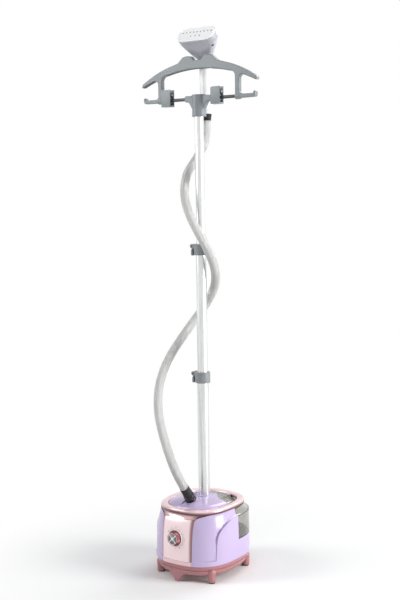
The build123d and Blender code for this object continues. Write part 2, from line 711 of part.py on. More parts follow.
# ---------------------------------------------------------------- boiler and plumbing
LOWER_RIM = BOILER_SPLIT
UPPER_RIM = BOILER_SPLIT + BOILER_GASKET
ELEMENT_Z = (BOILER_BOTTOM + BOILER_SPLIT) / 2
PIPE_CORNER = OUTLET.origin - OUTLET.z_dir * (OUTLET_TAIL + PIPE_TAIL)
STEAM_PIPE_Y = PIPE_CORNER.Y


def element_body():
    start = 90 + ELEMENT_GAP
    centre = Pos(0, BOILER_Y, ELEMENT_Z)
    section = Plane.XZ * Pos(ELEMENT_RADIUS, 0, 0) * Circle(ELEMENT_DIA / 2)
    ring = centre * Rot(0, 0, start) * revolve(section, Axis.Z, 360 - 2 * ELEMENT_GAP)
    for turn in (start, 90 - ELEMENT_GAP):
        x = ELEMENT_RADIUS * cos(radians(turn))
        y = BOILER_Y + ELEMENT_RADIUS * sin(radians(turn))
        ring += Pos(x, y, ELEMENT_Z) * Sphere(ELEMENT_DIA / 2)
        ring += disc(ELEMENT_PIN_DIA, TRAY_INSIDE + 3, ELEMENT_Z, x, y)
    return ring


def boiler_screw_tools():
    top = UPPER_RIM + BOILER_FLANGE
    return [screw(x, y, top, top - BOILER_SCREW_LONG) for x, y in BOILER_SCREWS]


def make_boiler_lower():
    lower = disc(BOILER_DIA, BOILER_BOTTOM, LOWER_RIM, 0, BOILER_Y)
    lower += disc(BOILER_FLANGE_DIA, LOWER_RIM - BOILER_FLANGE, LOWER_RIM, 0, BOILER_Y)
    lower += disc(DRAIN_DIA + 8, TRAY_INSIDE + 0.5, BOILER_BOTTOM + 1, 0, BOILER_Y)
    lower -= disc(BOILER_BORE, BOILER_BOTTOM + 6, LOWER_RIM + 1, 0, BOILER_Y)
    lower -= rod(FEED_DIA - 2, (0, BOILER_Y, FEED_Z), (0, BOILER_Y + BOILER_DIA, FEED_Z))
    lower -= disc(DRAIN_DIA + 2 * RUN_GAP, 0, BOILER_BOTTOM + 7, 0, BOILER_Y)
    lower -= element_body()
    for tool in boiler_screw_tools():
        lower -= tool
    return lower


def make_boiler_upper():
    upper = disc(BOILER_DIA, UPPER_RIM, BOILER_TOP, 0, BOILER_Y)
    upper += disc(BOILER_FLANGE_DIA, UPPER_RIM, UPPER_RIM + BOILER_FLANGE, 0, BOILER_Y)
    upper += disc(NOZZLE_DIA, BOILER_TOP - 1, BOILER_TOP + NOZZLE_LONG, 0, STEAM_PIPE_Y)
    upper -= disc(BOILER_DIA - 12, UPPER_RIM - 1, BOILER_TOP - 4, 0, BOILER_Y)
    upper -= disc(STEAM_PIPE_DIA - 4, UPPER_RIM, BOILER_TOP + NOZZLE_LONG + 1, 0, STEAM_PIPE_Y)
    for tool in boiler_screw_tools():
        upper -= tool
    return upper


def make_boiler_gasket():
    gasket = disc(BOILER_FLANGE_DIA, LOWER_RIM, UPPER_RIM, 0, BOILER_Y)
    gasket -= disc(BOILER_DIA - 12, 0, 100, 0, BOILER_Y)
    for x, y in BOILER_SCREWS:
        gasket -= disc(SCREW_DIA, 0, 100, x, y)
    return gasket


def make_steam_pipe():
    start = (0, STEAM_PIPE_Y, BOILER_TOP + NOZZLE_LONG)
    path = FilletPolyline(start, tuple(PIPE_CORNER), outlet_point(-OUTLET_TAIL), radius=STEAM_PIPE_BEND)
    pipe = sweep(Plane(origin=start, z_dir=(0, 0, 1)) * Circle(STEAM_PIPE_DIA / 2), path=path)
    bore = sweep(Plane(origin=start, z_dir=(0, 0, 1)) * Circle(STEAM_PIPE_DIA / 2 - 2), path=path)
    return pipe - bore


def make_feed_pipe():
    start = (0, VALVE_Y, CAP_BASE - 16)
    end = (0, BOILER_Y + BOILER_DIA / 2, FEED_Z)
    path = FilletPolyline(start, (0, VALVE_Y, FEED_Z), end, radius=FEED_BEND)
    pipe = sweep(Plane(origin=start, z_dir=(0, 0, -1)) * Circle(FEED_DIA / 2), path=path)
    return pipe - sweep(Plane(origin=start, z_dir=(0, 0, -1)) * Circle(FEED_DIA / 2 - 1.5), path=path)


def make_thermostat():
    x = BOILER_DIA / 4
    y = BOILER_Y - BOILER_DIA / 8
    top = BOILER_TOP + THERMOSTAT_HEIGHT
    can = disc(THERMOSTAT_DIA, BOILER_TOP, top, x, y)
    for tag_x in (x - 4, x + 4):
        can += slab(top - 1, top + 6, tag_x - 2, tag_x + 2, y - 0.4, y + 0.4)
    return can


def make_terminal_block():
    x, y = TERMINAL_PLACE
    long, wide, high = TERMINAL
    block = slab(TRAY_INSIDE, TRAY_INSIDE + high, x - long / 2, x + long / 2, y - wide / 2, y + wide / 2)
    for i in range(3):
        block -= disc(5, TRAY_INSIDE + high - 5, TRAY_INSIDE + high + 1, x + (i - 1) * long / 3, y)
    return block


def make_drain_plug():
    plug = disc(DRAIN_HEAD_DIA, TRAY_BOTTOM - JOIN_GAP - DRAIN_HEAD, TRAY_BOTTOM - JOIN_GAP, 0, BOILER_Y)
    slot = slab(0, TRAY_BOTTOM - JOIN_GAP - DRAIN_HEAD + 2.5, -DRAIN_HEAD_DIA, DRAIN_HEAD_DIA,
                BOILER_Y - DRAIN_SLOT / 2, BOILER_Y + DRAIN_SLOT / 2)
    return plug - slot + disc(DRAIN_DIA, TRAY_BOTTOM - 1, BOILER_BOTTOM + 6, 0, BOILER_Y)


def make_cable_gland():
    skin_y = BODY_HALF_Y - SEAT_GAP
    gland = rod(GLAND_DIA, (0, skin_y - WALL - 6, GLAND_Z), (0, skin_y + 3, GLAND_Z))
    gland += rod(GLAND_FLANGE_DIA, (0, skin_y + SEAT_GAP, GLAND_Z), (0, skin_y + 3, GLAND_Z))
    cone = Cone(GLAND_DIA / 2, GLAND_DIA / 2 - 2, GLAND_LONG)
    gland += Plane(origin=(0, skin_y + 3 + GLAND_LONG / 2, GLAND_Z), z_dir=(0, 1, 0)) * cone
    gland += rod(GLAND_FLANGE_DIA, (0, skin_y - WALL - 6, GLAND_Z), (0, skin_y - WALL - 1.5, GLAND_Z))
    return gland - rod(GLAND_DIA - 6, (0, 0, GLAND_Z), (0, 300, GLAND_Z))


def make_base_screws(places):
    return at_each(places, lambda x, y: screw(x, y, TRAY_BOTTOM, TRAY_BOTTOM + SCREW_GRIP))


# ---------------------------------------------------------------- telescopic pole
def pole_tube(dia, bore, z0, z1):
    return disc(dia, z0, z1, 0, POLE_Y) - disc(bore, z0 - 1, z1 + 1, 0, POLE_Y)


def make_clamp(tube_dia, inner_dia, top):
    """A split collar at a tube's top end, with two ears for the cam lever."""
    outer = tube_dia + 2 * CLAMP_WALL
    bottom = top - CLAMP_BELOW
    body = disc(outer, bottom, top + CLAMP_ABOVE, 0, POLE_Y)
    pin_x = -(outer / 2 + LEVER_OFFSET)
    pin_z = top + CLAMP_ABOVE / 2
    half = LEVER_EYE_WIDTH / 2 + RUN_GAP
    for y0, y1 in ((POLE_Y - half - EAR_THICK, POLE_Y - half), (POLE_Y + half, POLE_Y + half + EAR_THICK)):
        body += slab(pin_z - 6, pin_z + 6, pin_x, -tube_dia / 2, y0, y1)
        body += rod(12, (pin_x, y0, pin_z), (pin_x, y1, pin_z))
    body -= disc(inner_dia + 2 * TUBE_GAP, bottom - 1, top + CLAMP_ABOVE + 1, 0, POLE_Y)
    body -= disc(tube_dia + 2 * RUN_GAP, bottom - 1, top, 0, POLE_Y)
    body = body - rod(PIN_DIA, (pin_x, -50, pin_z), (pin_x, 50, pin_z))
    pin = rod(PIN_DIA, (pin_x, POLE_Y - half - EAR_THICK, pin_z), (pin_x, POLE_Y + half + EAR_THICK, pin_z))
    eye_y = LEVER_EYE_WIDTH / 2
    lever = rod(LEVER_EYE_DIA, (pin_x, POLE_Y - eye_y, pin_z), (pin_x, POLE_Y + eye_y, pin_z))
    back = pin_x - LEVER_THICK / 2
    front = pin_x + LEVER_THICK / 2
    lever += slab(pin_z - 9, pin_z, back, front, POLE_Y - eye_y, POLE_Y + eye_y)
    side_y = LEVER_WIDTH / 2
    paddle = slab(pin_z - LEVER_LONG, pin_z - 8, back, front, POLE_Y - side_y, POLE_Y + side_y)
    lever += fillet(paddle.edges().filter_by(Axis.X), 2.5)
    lever -= rod(PIN_DIA + 2 * RUN_GAP, (pin_x, -50, pin_z), (pin_x, 50, pin_z))
    return body, lever, pin


# ---------------------------------------------------------------- hanger and clips
def hanger_slab(outline):
    return prism_y(outline, POLE_Y - BOW_THICK / 2, POLE_Y + BOW_THICK / 2)


def handle_cut():
    return disc(HANDLE_DIA + 2 * JOIN_GAP, 0, 2000, 0, HANDLE_Y)


def make_hub():
    hub = disc(HUB_DIA, HUB_BOTTOM, HUB_TOP, 0, POLE_Y)
    arm_low = ROD_Z - HUB_ARM_HEIGHT / 2
    arms = slab(arm_low, arm_low + HUB_ARM_HEIGHT, -HUB_HALF, HUB_HALF, POLE_Y - 8, POLE_Y + 8)
    hub += fillet(arms.edges().filter_by(Axis.Y), 5)
    hub -= disc(UPPER_DIA + 2 * RUN_GAP, 0, ROD_Z - ROD_DIA, 0, POLE_Y)
    hub -= rod(ROD_DIA, (-200, POLE_Y, ROD_Z), (200, POLE_Y, ROD_Z))
    return hub - handle_cut()


def make_hanger_rod():
    return rod(ROD_DIA, (-ROD_HALF, POLE_Y, ROD_Z), (ROD_HALF, POLE_Y, ROD_Z))


def make_hanger_frame():
    tip_x = BOW_TIP_X - 4
    tip_z = BOW_TIP_Z + BOW_TIP_DEEP
    top = ThreePointArc((-tip_x, tip_z), (0, BOW_TOP), (tip_x, tip_z))
    low = ThreePointArc((BOW_TIP_X, BOW_TIP_Z - 1), (0, BOW_TOP - BOW_DEEP), (-BOW_TIP_X, BOW_TIP_Z - 1))
    ends = [Line(top @ 1, low @ 0), Line(low @ 1, top @ 0)]
    frame = hanger_slab(make_face([top, low, *ends]))
    for side in (-1, 1):
        strut = Pos(side * STRUT_X, (ROD_Z + STRUT_TOP) / 2) * Rectangle(STRUT_WIDE, STRUT_TOP - ROD_Z)
        frame += hanger_slab(strut)
        inner, outer = [side * (STRUT_X + reach) for reach in (-STRUT_WIDE / 2, STRUT_WIDE / 2)]
        frame += rod(BOW_THICK, (inner, POLE_Y, ROD_Z), (outer, POLE_Y, ROD_Z))
        bar_mid = (side * STRUT_X + side * HOOK_X) / 2
        frame += hanger_slab(Pos(bar_mid, ROD_Z) * Rectangle(HOOK_X - STRUT_X, HOOK_BAR))
        lip = Pos(side * (HOOK_X - 3), ROD_Z + HOOK_LIP / 2 - HOOK_BAR / 2) * Rectangle(6, HOOK_LIP)
        frame += hanger_slab(lip)
        hump = Pos(side * HUMP_X, BOW_TOP - HUMP_RADIUS + HUMP_RISE + HUMP_CLEAR) * Circle(HUMP_RADIUS)
        frame += hanger_slab(hump)
    frame -= rod(ROD_DIA, (-ROD_HALF, POLE_Y, ROD_Z), (ROD_HALF, POLE_Y, ROD_Z))
    return frame


def clip_ear(x, far_y):
    """A knuckle round the clip's pin, on a web that runs back to far_y."""
    x0 = x - CLIP_EAR_HALF
    x1 = x + CLIP_EAR_HALF
    low = CLIP_PIN_Z - CLIP_KNUCKLE_DIA / 2
    web = slab(low, low + CLIP_KNUCKLE_DIA, x0, x1, min(POLE_Y, far_y), max(POLE_Y, far_y))
    return web + rod(CLIP_KNUCKLE_DIA, (x0, POLE_Y, CLIP_PIN_Z), (x1, POLE_Y, CLIP_PIN_Z))


def make_clip(centre):
    """Rear leg on the rod's eye, sprung front jaw, the pin above the rod and the spring's coil."""
    x0 = centre - CLIP_WIDE / 2
    x1 = centre + CLIP_WIDE / 2
    back = POLE_Y + CLIP_EYE_DIA / 2
    front = POLE_Y - CLIP_EYE_DIA / 2 - CLIP_CLEAR
    inner = back - CLIP_PLATE
    lip_top = CLIP_BOTTOM + CLIP_LIP
    leg = slab(CLIP_BOTTOM, CLIP_TOP, x0, x1, inner, back)
    leg += slab(CLIP_BOTTOM, lip_top, x0, x1, POLE_Y + JOIN_GAP / 2, back)
    leg += rod(CLIP_EYE_DIA, (x0 + CLIP_EYE_IN, POLE_Y, ROD_Z), (x1 - CLIP_EYE_IN, POLE_Y, ROD_Z))
    leg -= rod(ROD_DIA + 2 * RUN_GAP, (x0 - 1, POLE_Y, ROD_Z), (x1 + 1, POLE_Y, ROD_Z))
    jaw = slab(CLIP_BOTTOM, CLIP_TOP, x0, x1, front - CLIP_PLATE, front)
    jaw += slab(CLIP_BOTTOM, lip_top, x0, x1, front - CLIP_PLATE, POLE_Y - JOIN_GAP / 2)
    for x in (x0 + CLIP_EAR_IN, x1 - CLIP_EAR_IN):
        leg += clip_ear(x, back)
    for x in (x0 + CLIP_JAW_EAR_IN, x1 - CLIP_JAW_EAR_IN):
        jaw += clip_ear(x, front - CLIP_PLATE)
    pin = rod(CLIP_PIN_DIA, (x0 + 1, POLE_Y, CLIP_PIN_Z), (x1 - 1, POLE_Y, CLIP_PIN_Z))
    leg -= rod(CLIP_PIN_DIA, (x0 - 1, POLE_Y, CLIP_PIN_Z), (x1 + 1, POLE_Y, CLIP_PIN_Z))
    jaw -= rod(CLIP_PIN_DIA + 2 * RUN_GAP, (x0 - 1, POLE_Y, CLIP_PIN_Z), (x1 + 1, POLE_Y, CLIP_PIN_Z))
    coil_start = (centre - 4, POLE_Y, CLIP_PIN_Z)
    coil = tube(CLIP_COIL_DIA, CLIP_PIN_DIA, coil_start, (centre + 4, POLE_Y, CLIP_PIN_Z))
    return leg, jaw, pin, coil


# ---------------------------------------------------------------- steam head
PLATE = Plane(origin=(0, PLATE_Y, PLATE_Z), x_dir=(1, 0, 0),
              z_dir=(0, -sin(radians(PLATE_TILT)), cos(radians(PLATE_TILT))))


def plate_outline(shrink, depth):
    outline = RectangleRounded(PLATE_WIDE - 2 * shrink, PLATE_HIGH - 2 * shrink, PLATE_ROUND - shrink)
    return PLATE * Pos(0, 0, depth) * outline


def head_form(shrink, top_depth):
    """The flared head between its front rim and the handle's end."""
    rim = extrude(plate_outline(shrink, top_depth), -(HEAD_RIM + top_depth), dir=PLATE.z_dir)
    throat = Plane(origin=(0, HANDLE_Y, HANDLE_TOP)) * Circle(HANDLE_DIA / 2 - shrink)
    return rim + loft([plate_outline(shrink, -HEAD_RIM), throat])


def make_head_shell():
    shell = head_form(0, 0)
    shell -= head_form(WALL, 1)
    shell += disc(HANDLE_DIA, HANDLE_TOP - 3, HANDLE_TOP, 0, HANDLE_Y)
    return shell - disc(HEAD_TUBE_DIA, 0, HANDLE_TOP + 1, 0, HANDLE_Y)


def make_steam_plate():
    plate = PLATE * extrude(RectangleRounded(PLATE_WIDE, PLATE_HIGH, PLATE_ROUND), PLATE_THICK)
    for row_y, count, pitch in PLATE_ROWS:
        for i in range(count):
            hole = Pos((i - (count - 1) / 2) * pitch, row_y, -1) * Circle(PLATE_HOLE_DIA / 2)
            plate -= PLATE * extrude(hole, PLATE_THICK + 2)
    return plate


def make_handle():
    shell = disc(HANDLE_DIA, HANDLE_BOTTOM, HANDLE_TOP - 3, 0, HANDLE_Y)
    shell -= disc(HANDLE_DIA - 2 * WALL, HANDLE_BOTTOM + 3, HANDLE_TOP, 0, HANDLE_Y)
    return shell - disc(HEAD_TUBE_DIA, 0, 2000, 0, HANDLE_Y)


def make_handle_cuff():
    bottom = HANDLE_BOTTOM - HANDLE_CUFF
    cone = Cone(HOSE_DIA / 2 + 0.5, HOSE_CUFF_DIA / 2 + 1, HANDLE_CUFF)
    cuff = Pos(0, HANDLE_Y, bottom + HANDLE_CUFF / 2) * cone
    return cuff - disc(HEAD_TUBE_DIA, bottom + 4, HANDLE_BOTTOM + 1, 0, HANDLE_Y)


# ---------------------------------------------------------------- steam hose
NUT_START = OUTLET_COLLAR + JOIN_GAP
CUFF_START = NUT_START + HOSE_NUT_LONG + JOIN_GAP
HOSE_START = CUFF_START + HOSE_CUFF_LONG


def make_hose_nut():
    nut = outlet_disc(HOSE_NUT_DIA, NUT_START, NUT_START + HOSE_NUT_LONG)
    for x, y in ring_places(NUT_FLUTES, HOSE_NUT_DIA / 2, 0, 0):
        nut -= OUTLET * extrude(Pos(x, y, NUT_START - 1) * Circle(NUT_FLUTE_DIA / 2), HOSE_NUT_LONG + 2)
    return nut - outlet_disc(OUTLET_DIA + 2 * RUN_GAP, 0, 40)


def make_hose_cuff():
    cone = Cone(HOSE_CUFF_DIA / 2, HOSE_DIA / 2 + 0.5, HOSE_CUFF_LONG)
    cuff = OUTLET * Pos(0, 0, CUFF_START + HOSE_CUFF_LONG / 2) * cone
    return cuff - outlet_disc(OUTLET_DIA, 0, OUTLET_LONG) - outlet_disc(OUTLET_BORE - 3, 0, HOSE_START - 3)


def between(a, b, share):
    return tuple(p + (q - p) * share for p, q in zip(a, b))


def hose_piece(points):
    """A tube along straight runs and tangent arcs, each arc as large as its two runs allow."""
    runs = [Vector(*b) - Vector(*a) for a, b in zip(points, points[1:])]
    radii = []
    for before, after in zip(runs, runs[1:]):
        turn = radians(before.get_angle(after))
        radii.append(HOSE_ARC_SHARE * min(before.length, after.length) / tan(turn / 2))
    path = FilletPolyline(*points, radius=radii)
    return sweep(Plane(origin=points[0], z_dir=runs[0]) * Circle(HOSE_DIA / 2), path=path)


def make_hose():
    start = outlet_point(HOSE_START)
    first = outlet_point(HOSE_START + HOSE_START_RUN)
    end = (0, HANDLE_Y, HANDLE_BOTTOM - HANDLE_CUFF)
    last = (0, HANDLE_Y, end[2] - HOSE_END_RUN)
    low_split = between(HOSE_LOWER[-1], HOSE_UPPER[0], HOSE_LOW_SHARE)
    high_split = between(HOSE_UPPER[-1], HOSE_TAIL[0], HOSE_HIGH_SHARE)
    save("hose_lower", hose_piece([start, first, *HOSE_LOWER, low_split]))
    save("hose_upper", hose_piece([low_split, *HOSE_UPPER, high_split]))
    save("hose_tail", hose_piece([high_split, *HOSE_TAIL, last, end]))


# ---------------------------------------------------------------- all pieces
os.makedirs("parts", exist_ok=True)

save("base_tray", make_tray())
save("foot_pads", *make_pads())
save("outer_housing", make_housing())
save("front_fascia", make_fascia())
save("dial_bezel", make_bezel())
save("steam_knob", make_knob())
save("knob_face", make_knob_face())
save("rotary_switch", make_switch())
save("switch_shaft", make_shaft())
save("switch_nut", make_switch_nut())
save("top_deck", make_deck())
save("steam_outlet", make_outlet())
save("pole_socket", make_socket())
save("tank_bay_chassis", make_chassis())
save("base_screws", *make_base_screws(POST_PLACES + HOUSING_SCREWS))
save("water_tank", *make_tank())
save("tank_handle", make_ring_half(False))
save("tank_cap", make_tank_cap())
save("tank_cap_gasket", make_cap_gasket())
save("valve_plunger", make_plunger())
save("valve_spring", make_valve_spring())
save("tank_seat", make_tank_seat())
save("boiler_lower", make_boiler_lower())
save("boiler_upper", make_boiler_upper())
save("boiler_gasket", make_boiler_gasket())
save("boiler_screws", *boiler_screw_tools())
save("heating_element", element_body())
save("thermostat", make_thermostat())
save("steam_pipe", make_steam_pipe())
save("water_feed_pipe", make_feed_pipe())
save("terminal_block", make_terminal_block())
save("drain_plug", make_drain_plug())
save("cable_gland", make_cable_gland())

tube_bottom = SHELF_Z + SHELF_THICK + SOCKET_FLOOR
clamps = {"lower": (LOWER_DIA, MIDDLE_DIA, LOWER_TOP), "upper": (MIDDLE_DIA, UPPER_DIA, MIDDLE_TOP)}
save("lower_tube", pole_tube(LOWER_DIA, MIDDLE_DIA + 2 * TUBE_GAP, tube_bottom, LOWER_TOP))
save("middle_tube", pole_tube(MIDDLE_DIA, UPPER_DIA + 2 * TUBE_GAP, MIDDLE_BOTTOM, MIDDLE_TOP))
save("upper_tube", pole_tube(UPPER_DIA, UPPER_DIA - 2.4, UPPER_BOTTOM, ROD_Z - ROD_DIA))
for level, sizes in clamps.items():
    clamp, lever, pin = make_clamp(*sizes)
    save(f"{level}_clamp", clamp)
    save(f"{level}_clamp_lever", lever)
    save(f"{level}_clamp_pin", pin)

save("hanger_hub", make_hub())
save("hanger_rod", make_hanger_rod())
save("hanger_frame", make_hanger_frame())
for side, centre in CLIP_PLACES.items():
    leg, jaw, pin, coil = make_clip(centre)
    save(f"{side}_clip_leg", leg)
    save(f"{side}_clip_jaw", jaw)
    save(f"{side}_clip_pin", pin, coil)

save("head_shell", make_head_shell())
save("steam_plate", make_steam_plate())
save("steam_handle", make_handle())
save("handle_cuff", make_handle_cuff())
save("hose_nut", make_hose_nut())
save("hose_cuff", make_hose_cuff())
make_hose()
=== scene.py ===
import bmesh
import bpy
import json
import numpy as np
from math import atan2, cos, pi, radians, sin, sqrt, tan
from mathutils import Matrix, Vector

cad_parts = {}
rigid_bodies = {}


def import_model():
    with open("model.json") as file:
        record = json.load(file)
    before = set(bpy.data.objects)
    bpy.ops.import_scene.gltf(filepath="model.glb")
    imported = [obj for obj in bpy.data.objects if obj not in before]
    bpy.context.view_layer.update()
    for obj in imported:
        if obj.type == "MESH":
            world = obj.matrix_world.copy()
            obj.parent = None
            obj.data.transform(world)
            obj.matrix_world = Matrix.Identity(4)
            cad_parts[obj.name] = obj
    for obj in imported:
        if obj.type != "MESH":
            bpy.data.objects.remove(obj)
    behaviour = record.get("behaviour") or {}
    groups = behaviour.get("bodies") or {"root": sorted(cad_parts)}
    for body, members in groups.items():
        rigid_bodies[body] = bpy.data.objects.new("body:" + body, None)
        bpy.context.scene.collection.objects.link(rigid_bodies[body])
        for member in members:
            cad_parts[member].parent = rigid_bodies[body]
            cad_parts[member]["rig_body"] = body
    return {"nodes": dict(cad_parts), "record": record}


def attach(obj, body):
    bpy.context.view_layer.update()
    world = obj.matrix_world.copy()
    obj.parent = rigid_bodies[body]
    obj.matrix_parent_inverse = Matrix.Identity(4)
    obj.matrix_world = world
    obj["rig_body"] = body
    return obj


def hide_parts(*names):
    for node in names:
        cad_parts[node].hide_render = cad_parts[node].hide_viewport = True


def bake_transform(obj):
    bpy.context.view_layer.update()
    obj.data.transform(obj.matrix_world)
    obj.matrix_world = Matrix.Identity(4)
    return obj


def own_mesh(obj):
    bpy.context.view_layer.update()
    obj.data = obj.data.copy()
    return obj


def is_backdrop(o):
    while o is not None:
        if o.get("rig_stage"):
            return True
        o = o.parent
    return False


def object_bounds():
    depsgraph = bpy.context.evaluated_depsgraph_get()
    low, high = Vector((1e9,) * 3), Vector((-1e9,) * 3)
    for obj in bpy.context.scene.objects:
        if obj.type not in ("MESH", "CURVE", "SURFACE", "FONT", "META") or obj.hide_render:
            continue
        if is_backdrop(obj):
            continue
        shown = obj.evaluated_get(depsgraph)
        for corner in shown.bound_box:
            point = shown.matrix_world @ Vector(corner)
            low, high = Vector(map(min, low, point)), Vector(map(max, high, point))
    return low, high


# Upright garment steamer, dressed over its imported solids.
# Shapes are worked out in millimetres, and made in metres.

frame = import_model()
CAD_BOX = [list(corner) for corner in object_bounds()]
NODES = frame["nodes"]
MM = 0.001


def linked(name, data):
    """An object with that data, put into the scene."""
    made = bpy.data.objects.new(name, data)
    bpy.context.scene.collection.objects.link(made)
    return made


def drawn(name, curve):
    """The points and faces that a curve or a text makes; the curve is used up."""
    holder = linked(name, curve)
    bpy.context.view_layer.update()
    read = bpy.data.meshes.new_from_object(holder)
    points = [np.array(vertex.co) for vertex in read.vertices]
    faces = [tuple(face.vertices) for face in read.polygons]
    bpy.data.objects.remove(holder)
    bpy.data.curves.remove(curve)
    bpy.data.meshes.remove(read)
    return points, faces


# ---------------------------------------------------------------- camera, floor and light
def aim(thing, place, target):
    thing.location = place
    thing.rotation_euler = (Vector(target) - Vector(place)).to_track_quat("-Z", "Y").to_euler()


def look_from(place, target, focal, roll):
    """The camera, turned by roll degrees about its own axis."""
    camera = bpy.data.cameras.new("camera")
    camera.lens = focal
    camera.sensor_width = 36
    eye = linked("camera", camera)
    aim(eye, place, target)
    eye.rotation_euler.rotate_axis("Z", radians(roll))
    bpy.context.scene.camera = eye


def linear(colour):
    """The linear RGBA of an sRGB hex colour."""
    parts = [int(colour[i:i + 2], 16) / 255 for i in (1, 3, 5)]
    return [p / 12.92 if p <= 0.04045 else ((p + 0.055) / 1.055) ** 2.4 for p in parts] + [1.0]


def add(tree, kind, inputs=None, **settings):
    """A node with its settings, its plain values, and its links."""
    made = tree.nodes.new("ShaderNode" + kind)
    for key, value in settings.items():
        setattr(made, key, value)
    for key, value in (inputs or {}).items():
        if isinstance(value, bpy.types.NodeSocket):
            tree.links.new(value, made.inputs[key])
        else:
            made.inputs[key].default_value = value
    return made


WHITE_LIGHT = (1, 1, 1, 1)


def empty_tree(owner):
    owner.use_nodes = True
    owner.node_tree.nodes.clear()
    return owner.node_tree


def maths(tree, operation, first, second=0.0):
    """The output of one Math node."""
    return add(tree, "Math", {0: first, 1: second}, operation=operation).outputs[0]


def soft_step(tree, value, low, high):
    """0 below low, 1 above high, and a soft rise between them."""
    return add(tree, "MapRange", {0: value, 1: low, 2: high}, interpolation_type="SMOOTHSTEP").outputs[0]


def seen_or_mirrored(tree):
    """1 where a ray is seen or mirrored, and then 1 where it went through something clear."""
    ray = add(tree, "LightPath").outputs
    return maths(tree, "MAXIMUM", ray["Is Camera Ray"], ray["Is Glossy Ray"]), ray["Is Transmission Ray"]


def studio_world():
    """White paper all round for what is seen, mirrored or seen through; plain light for the rest."""
    world = bpy.data.worlds.new("studio")
    tree = empty_tree(world)
    seen = maths(tree, "MAXIMUM", *seen_or_mirrored(tree))
    soft = add(tree, "Background", {"Color": linear("#eef1f6"), "Strength": 0.36})
    white = add(tree, "Background", {"Color": WHITE_LIGHT, "Strength": 1.0})
    mix = add(tree, "MixShader", {0: seen, 1: soft.outputs[0], 2: white.outputs[0]})
    add(tree, "OutputWorld", {"Surface": mix.outputs[0]})
    bpy.context.scene.world = world


def soft_box(name, place, target, size, watts):
    """A rectangular softbox, in metres, aimed at target."""
    lamp = bpy.data.lights.new(name, "AREA")
    lamp.shape = "RECTANGLE"
    lamp.size, lamp.size_y = size
    lamp.energy = watts
    aim(linked(name, lamp), place, target)


def paper_floor():
    """Matt white paper, faded into the white surround away from the steamer."""
    mesh = bpy.data.meshes.new("floor")
    far = 9.0
    mesh.from_pydata([(-far, -far, 0), (far, -far, 0), (far, far, 0), (-far, far, 0)], [], [(0, 1, 2, 3)])
    floor = linked("floor", mesh)
    paper = bpy.data.materials.new("white paper")
    tree = empty_tree(paper)
    where = add(tree, "TexCoord").outputs["Object"]
    reach = add(tree, "VectorMath", {0: where}, operation="LENGTH")
    fade = soft_step(tree, reach.outputs["Value"], 0.22, 0.75)
    sheet = add(tree, "BsdfDiffuse", {"Color": linear("#f4f4f3")})
    white = add(tree, "Emission", {"Color": WHITE_LIGHT, "Strength": 1.0})
    share = maths(tree, "MULTIPLY", seen_or_mirrored(tree)[0], fade)
    mix = add(tree, "MixShader", {0: share, 1: sheet.outputs[0], 2: white.outputs[0]})
    add(tree, "OutputMaterial", {"Surface": mix.outputs[0]})
    mesh.materials.append(paper)
    floor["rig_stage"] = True


look_from((1.708, -2.378, 1.067), (0.0, 0.0, 0.757), 64.5, -0.8)
studio_world()
soft_box("key", (-2.3, -2.2, 2.1), (0, 0, 0.5), (1.2, 2.4), 58)
soft_box("side", (2.9, 0.7, 1.2), (0, 0, 0.5), (1.4, 2.4), 100)
soft_box("back", (0.4, 2.2, 2.6), (0, 0, 0.8), (1.6, 1.6), 34)
soft_box("top", (0.2, -0.9, 2.35), (0, 0, 1.45), (0.5, 0.5), 3)
paper_floor()
bpy.context.scene.view_settings.view_transform = "Standard"


# ---------------------------------------------------------------- finishes
def finish_of(name, colour, rough, metallic=0.0, ior=1.5, coat=0.0, coat_rough=0.05, extra=None):
    """A new material with its shader, ready for patterns."""
    material = bpy.data.materials.new(name)
    tree = empty_tree(material)
    values = {"Base Color": linear(colour), "Roughness": rough, "Metallic": metallic, "IOR": ior,
              "Coat Weight": coat, "Coat Roughness": coat_rough}
    values.update(extra or {})
    shader = add(tree, "BsdfPrincipled", values)
    add(tree, "OutputMaterial", {"Surface": shader.outputs[0]})
    return material, tree, shader


def noise_at(tree, size_mm, detail=2.0, stretch=(1, 1, 1)):
    """Noise whose grains are about size_mm across, from 0 to 1, fixed to the piece."""
    where = add(tree, "TexCoord").outputs["Object"]
    scaled = add(tree, "VectorMath", {0: where, 1: stretch}, operation="MULTIPLY")
    return add(tree, "TexNoise", {"Vector": scaled.outputs[0], "Scale": 1000 / size_mm, "Detail": detail}).outputs[0]


def colour_by(tree, shader, share, dark, light):
    """Colours the shader from dark to light by share; each is a hex colour or the output of another mix."""
    ends = [linear(end) if isinstance(end, str) else end for end in (dark, light)]
    mix = add(tree, "Mix", {0: share, 6: ends[0], 7: ends[1]}, data_type="RGBA")
    tree.links.new(mix.outputs[2], shader.inputs["Base Color"])
    return mix.outputs[2]


def tint(tree, shader, dark, light, share):
    """Colours the shader by a noise, which runs from about 0.3 to 0.7."""
    return colour_by(tree, shader, add(tree, "MapRange", {0: share, 1: 0.3, 2: 0.7}).outputs[0], dark, light)


def bump(tree, shader, height, depth_mm):
    """Raises the surface by height, which runs from 0 to 1 over depth_mm."""
    made = add(tree, "Bump", {"Height": height, "Distance": depth_mm * MM, "Strength": 1.0})
    tree.links.new(made.outputs[0], shader.inputs["Normal"])


def rough_by(tree, shader, share, low, high):
    """Roughness from low to high by a noise."""
    spread = add(tree, "MapRange", {0: share, 1: 0.3, 2: 0.7, 3: low, 4: high})
    tree.links.new(spread.outputs[0], shader.inputs["Roughness"])


def even_gloss(tree, shader, rough):
    """The roughness wanders by a few per cent, in patches the size of a palm."""
    rough_by(tree, shader, noise_at(tree, 60, detail=0.0), rough * 0.94, rough * 1.06)


def orange_peel(tree, shader):
    """The faint waves of a mould or of sprayed lacquer."""
    bump(tree, shader, noise_at(tree, 3.0, detail=0.0), 0.004)


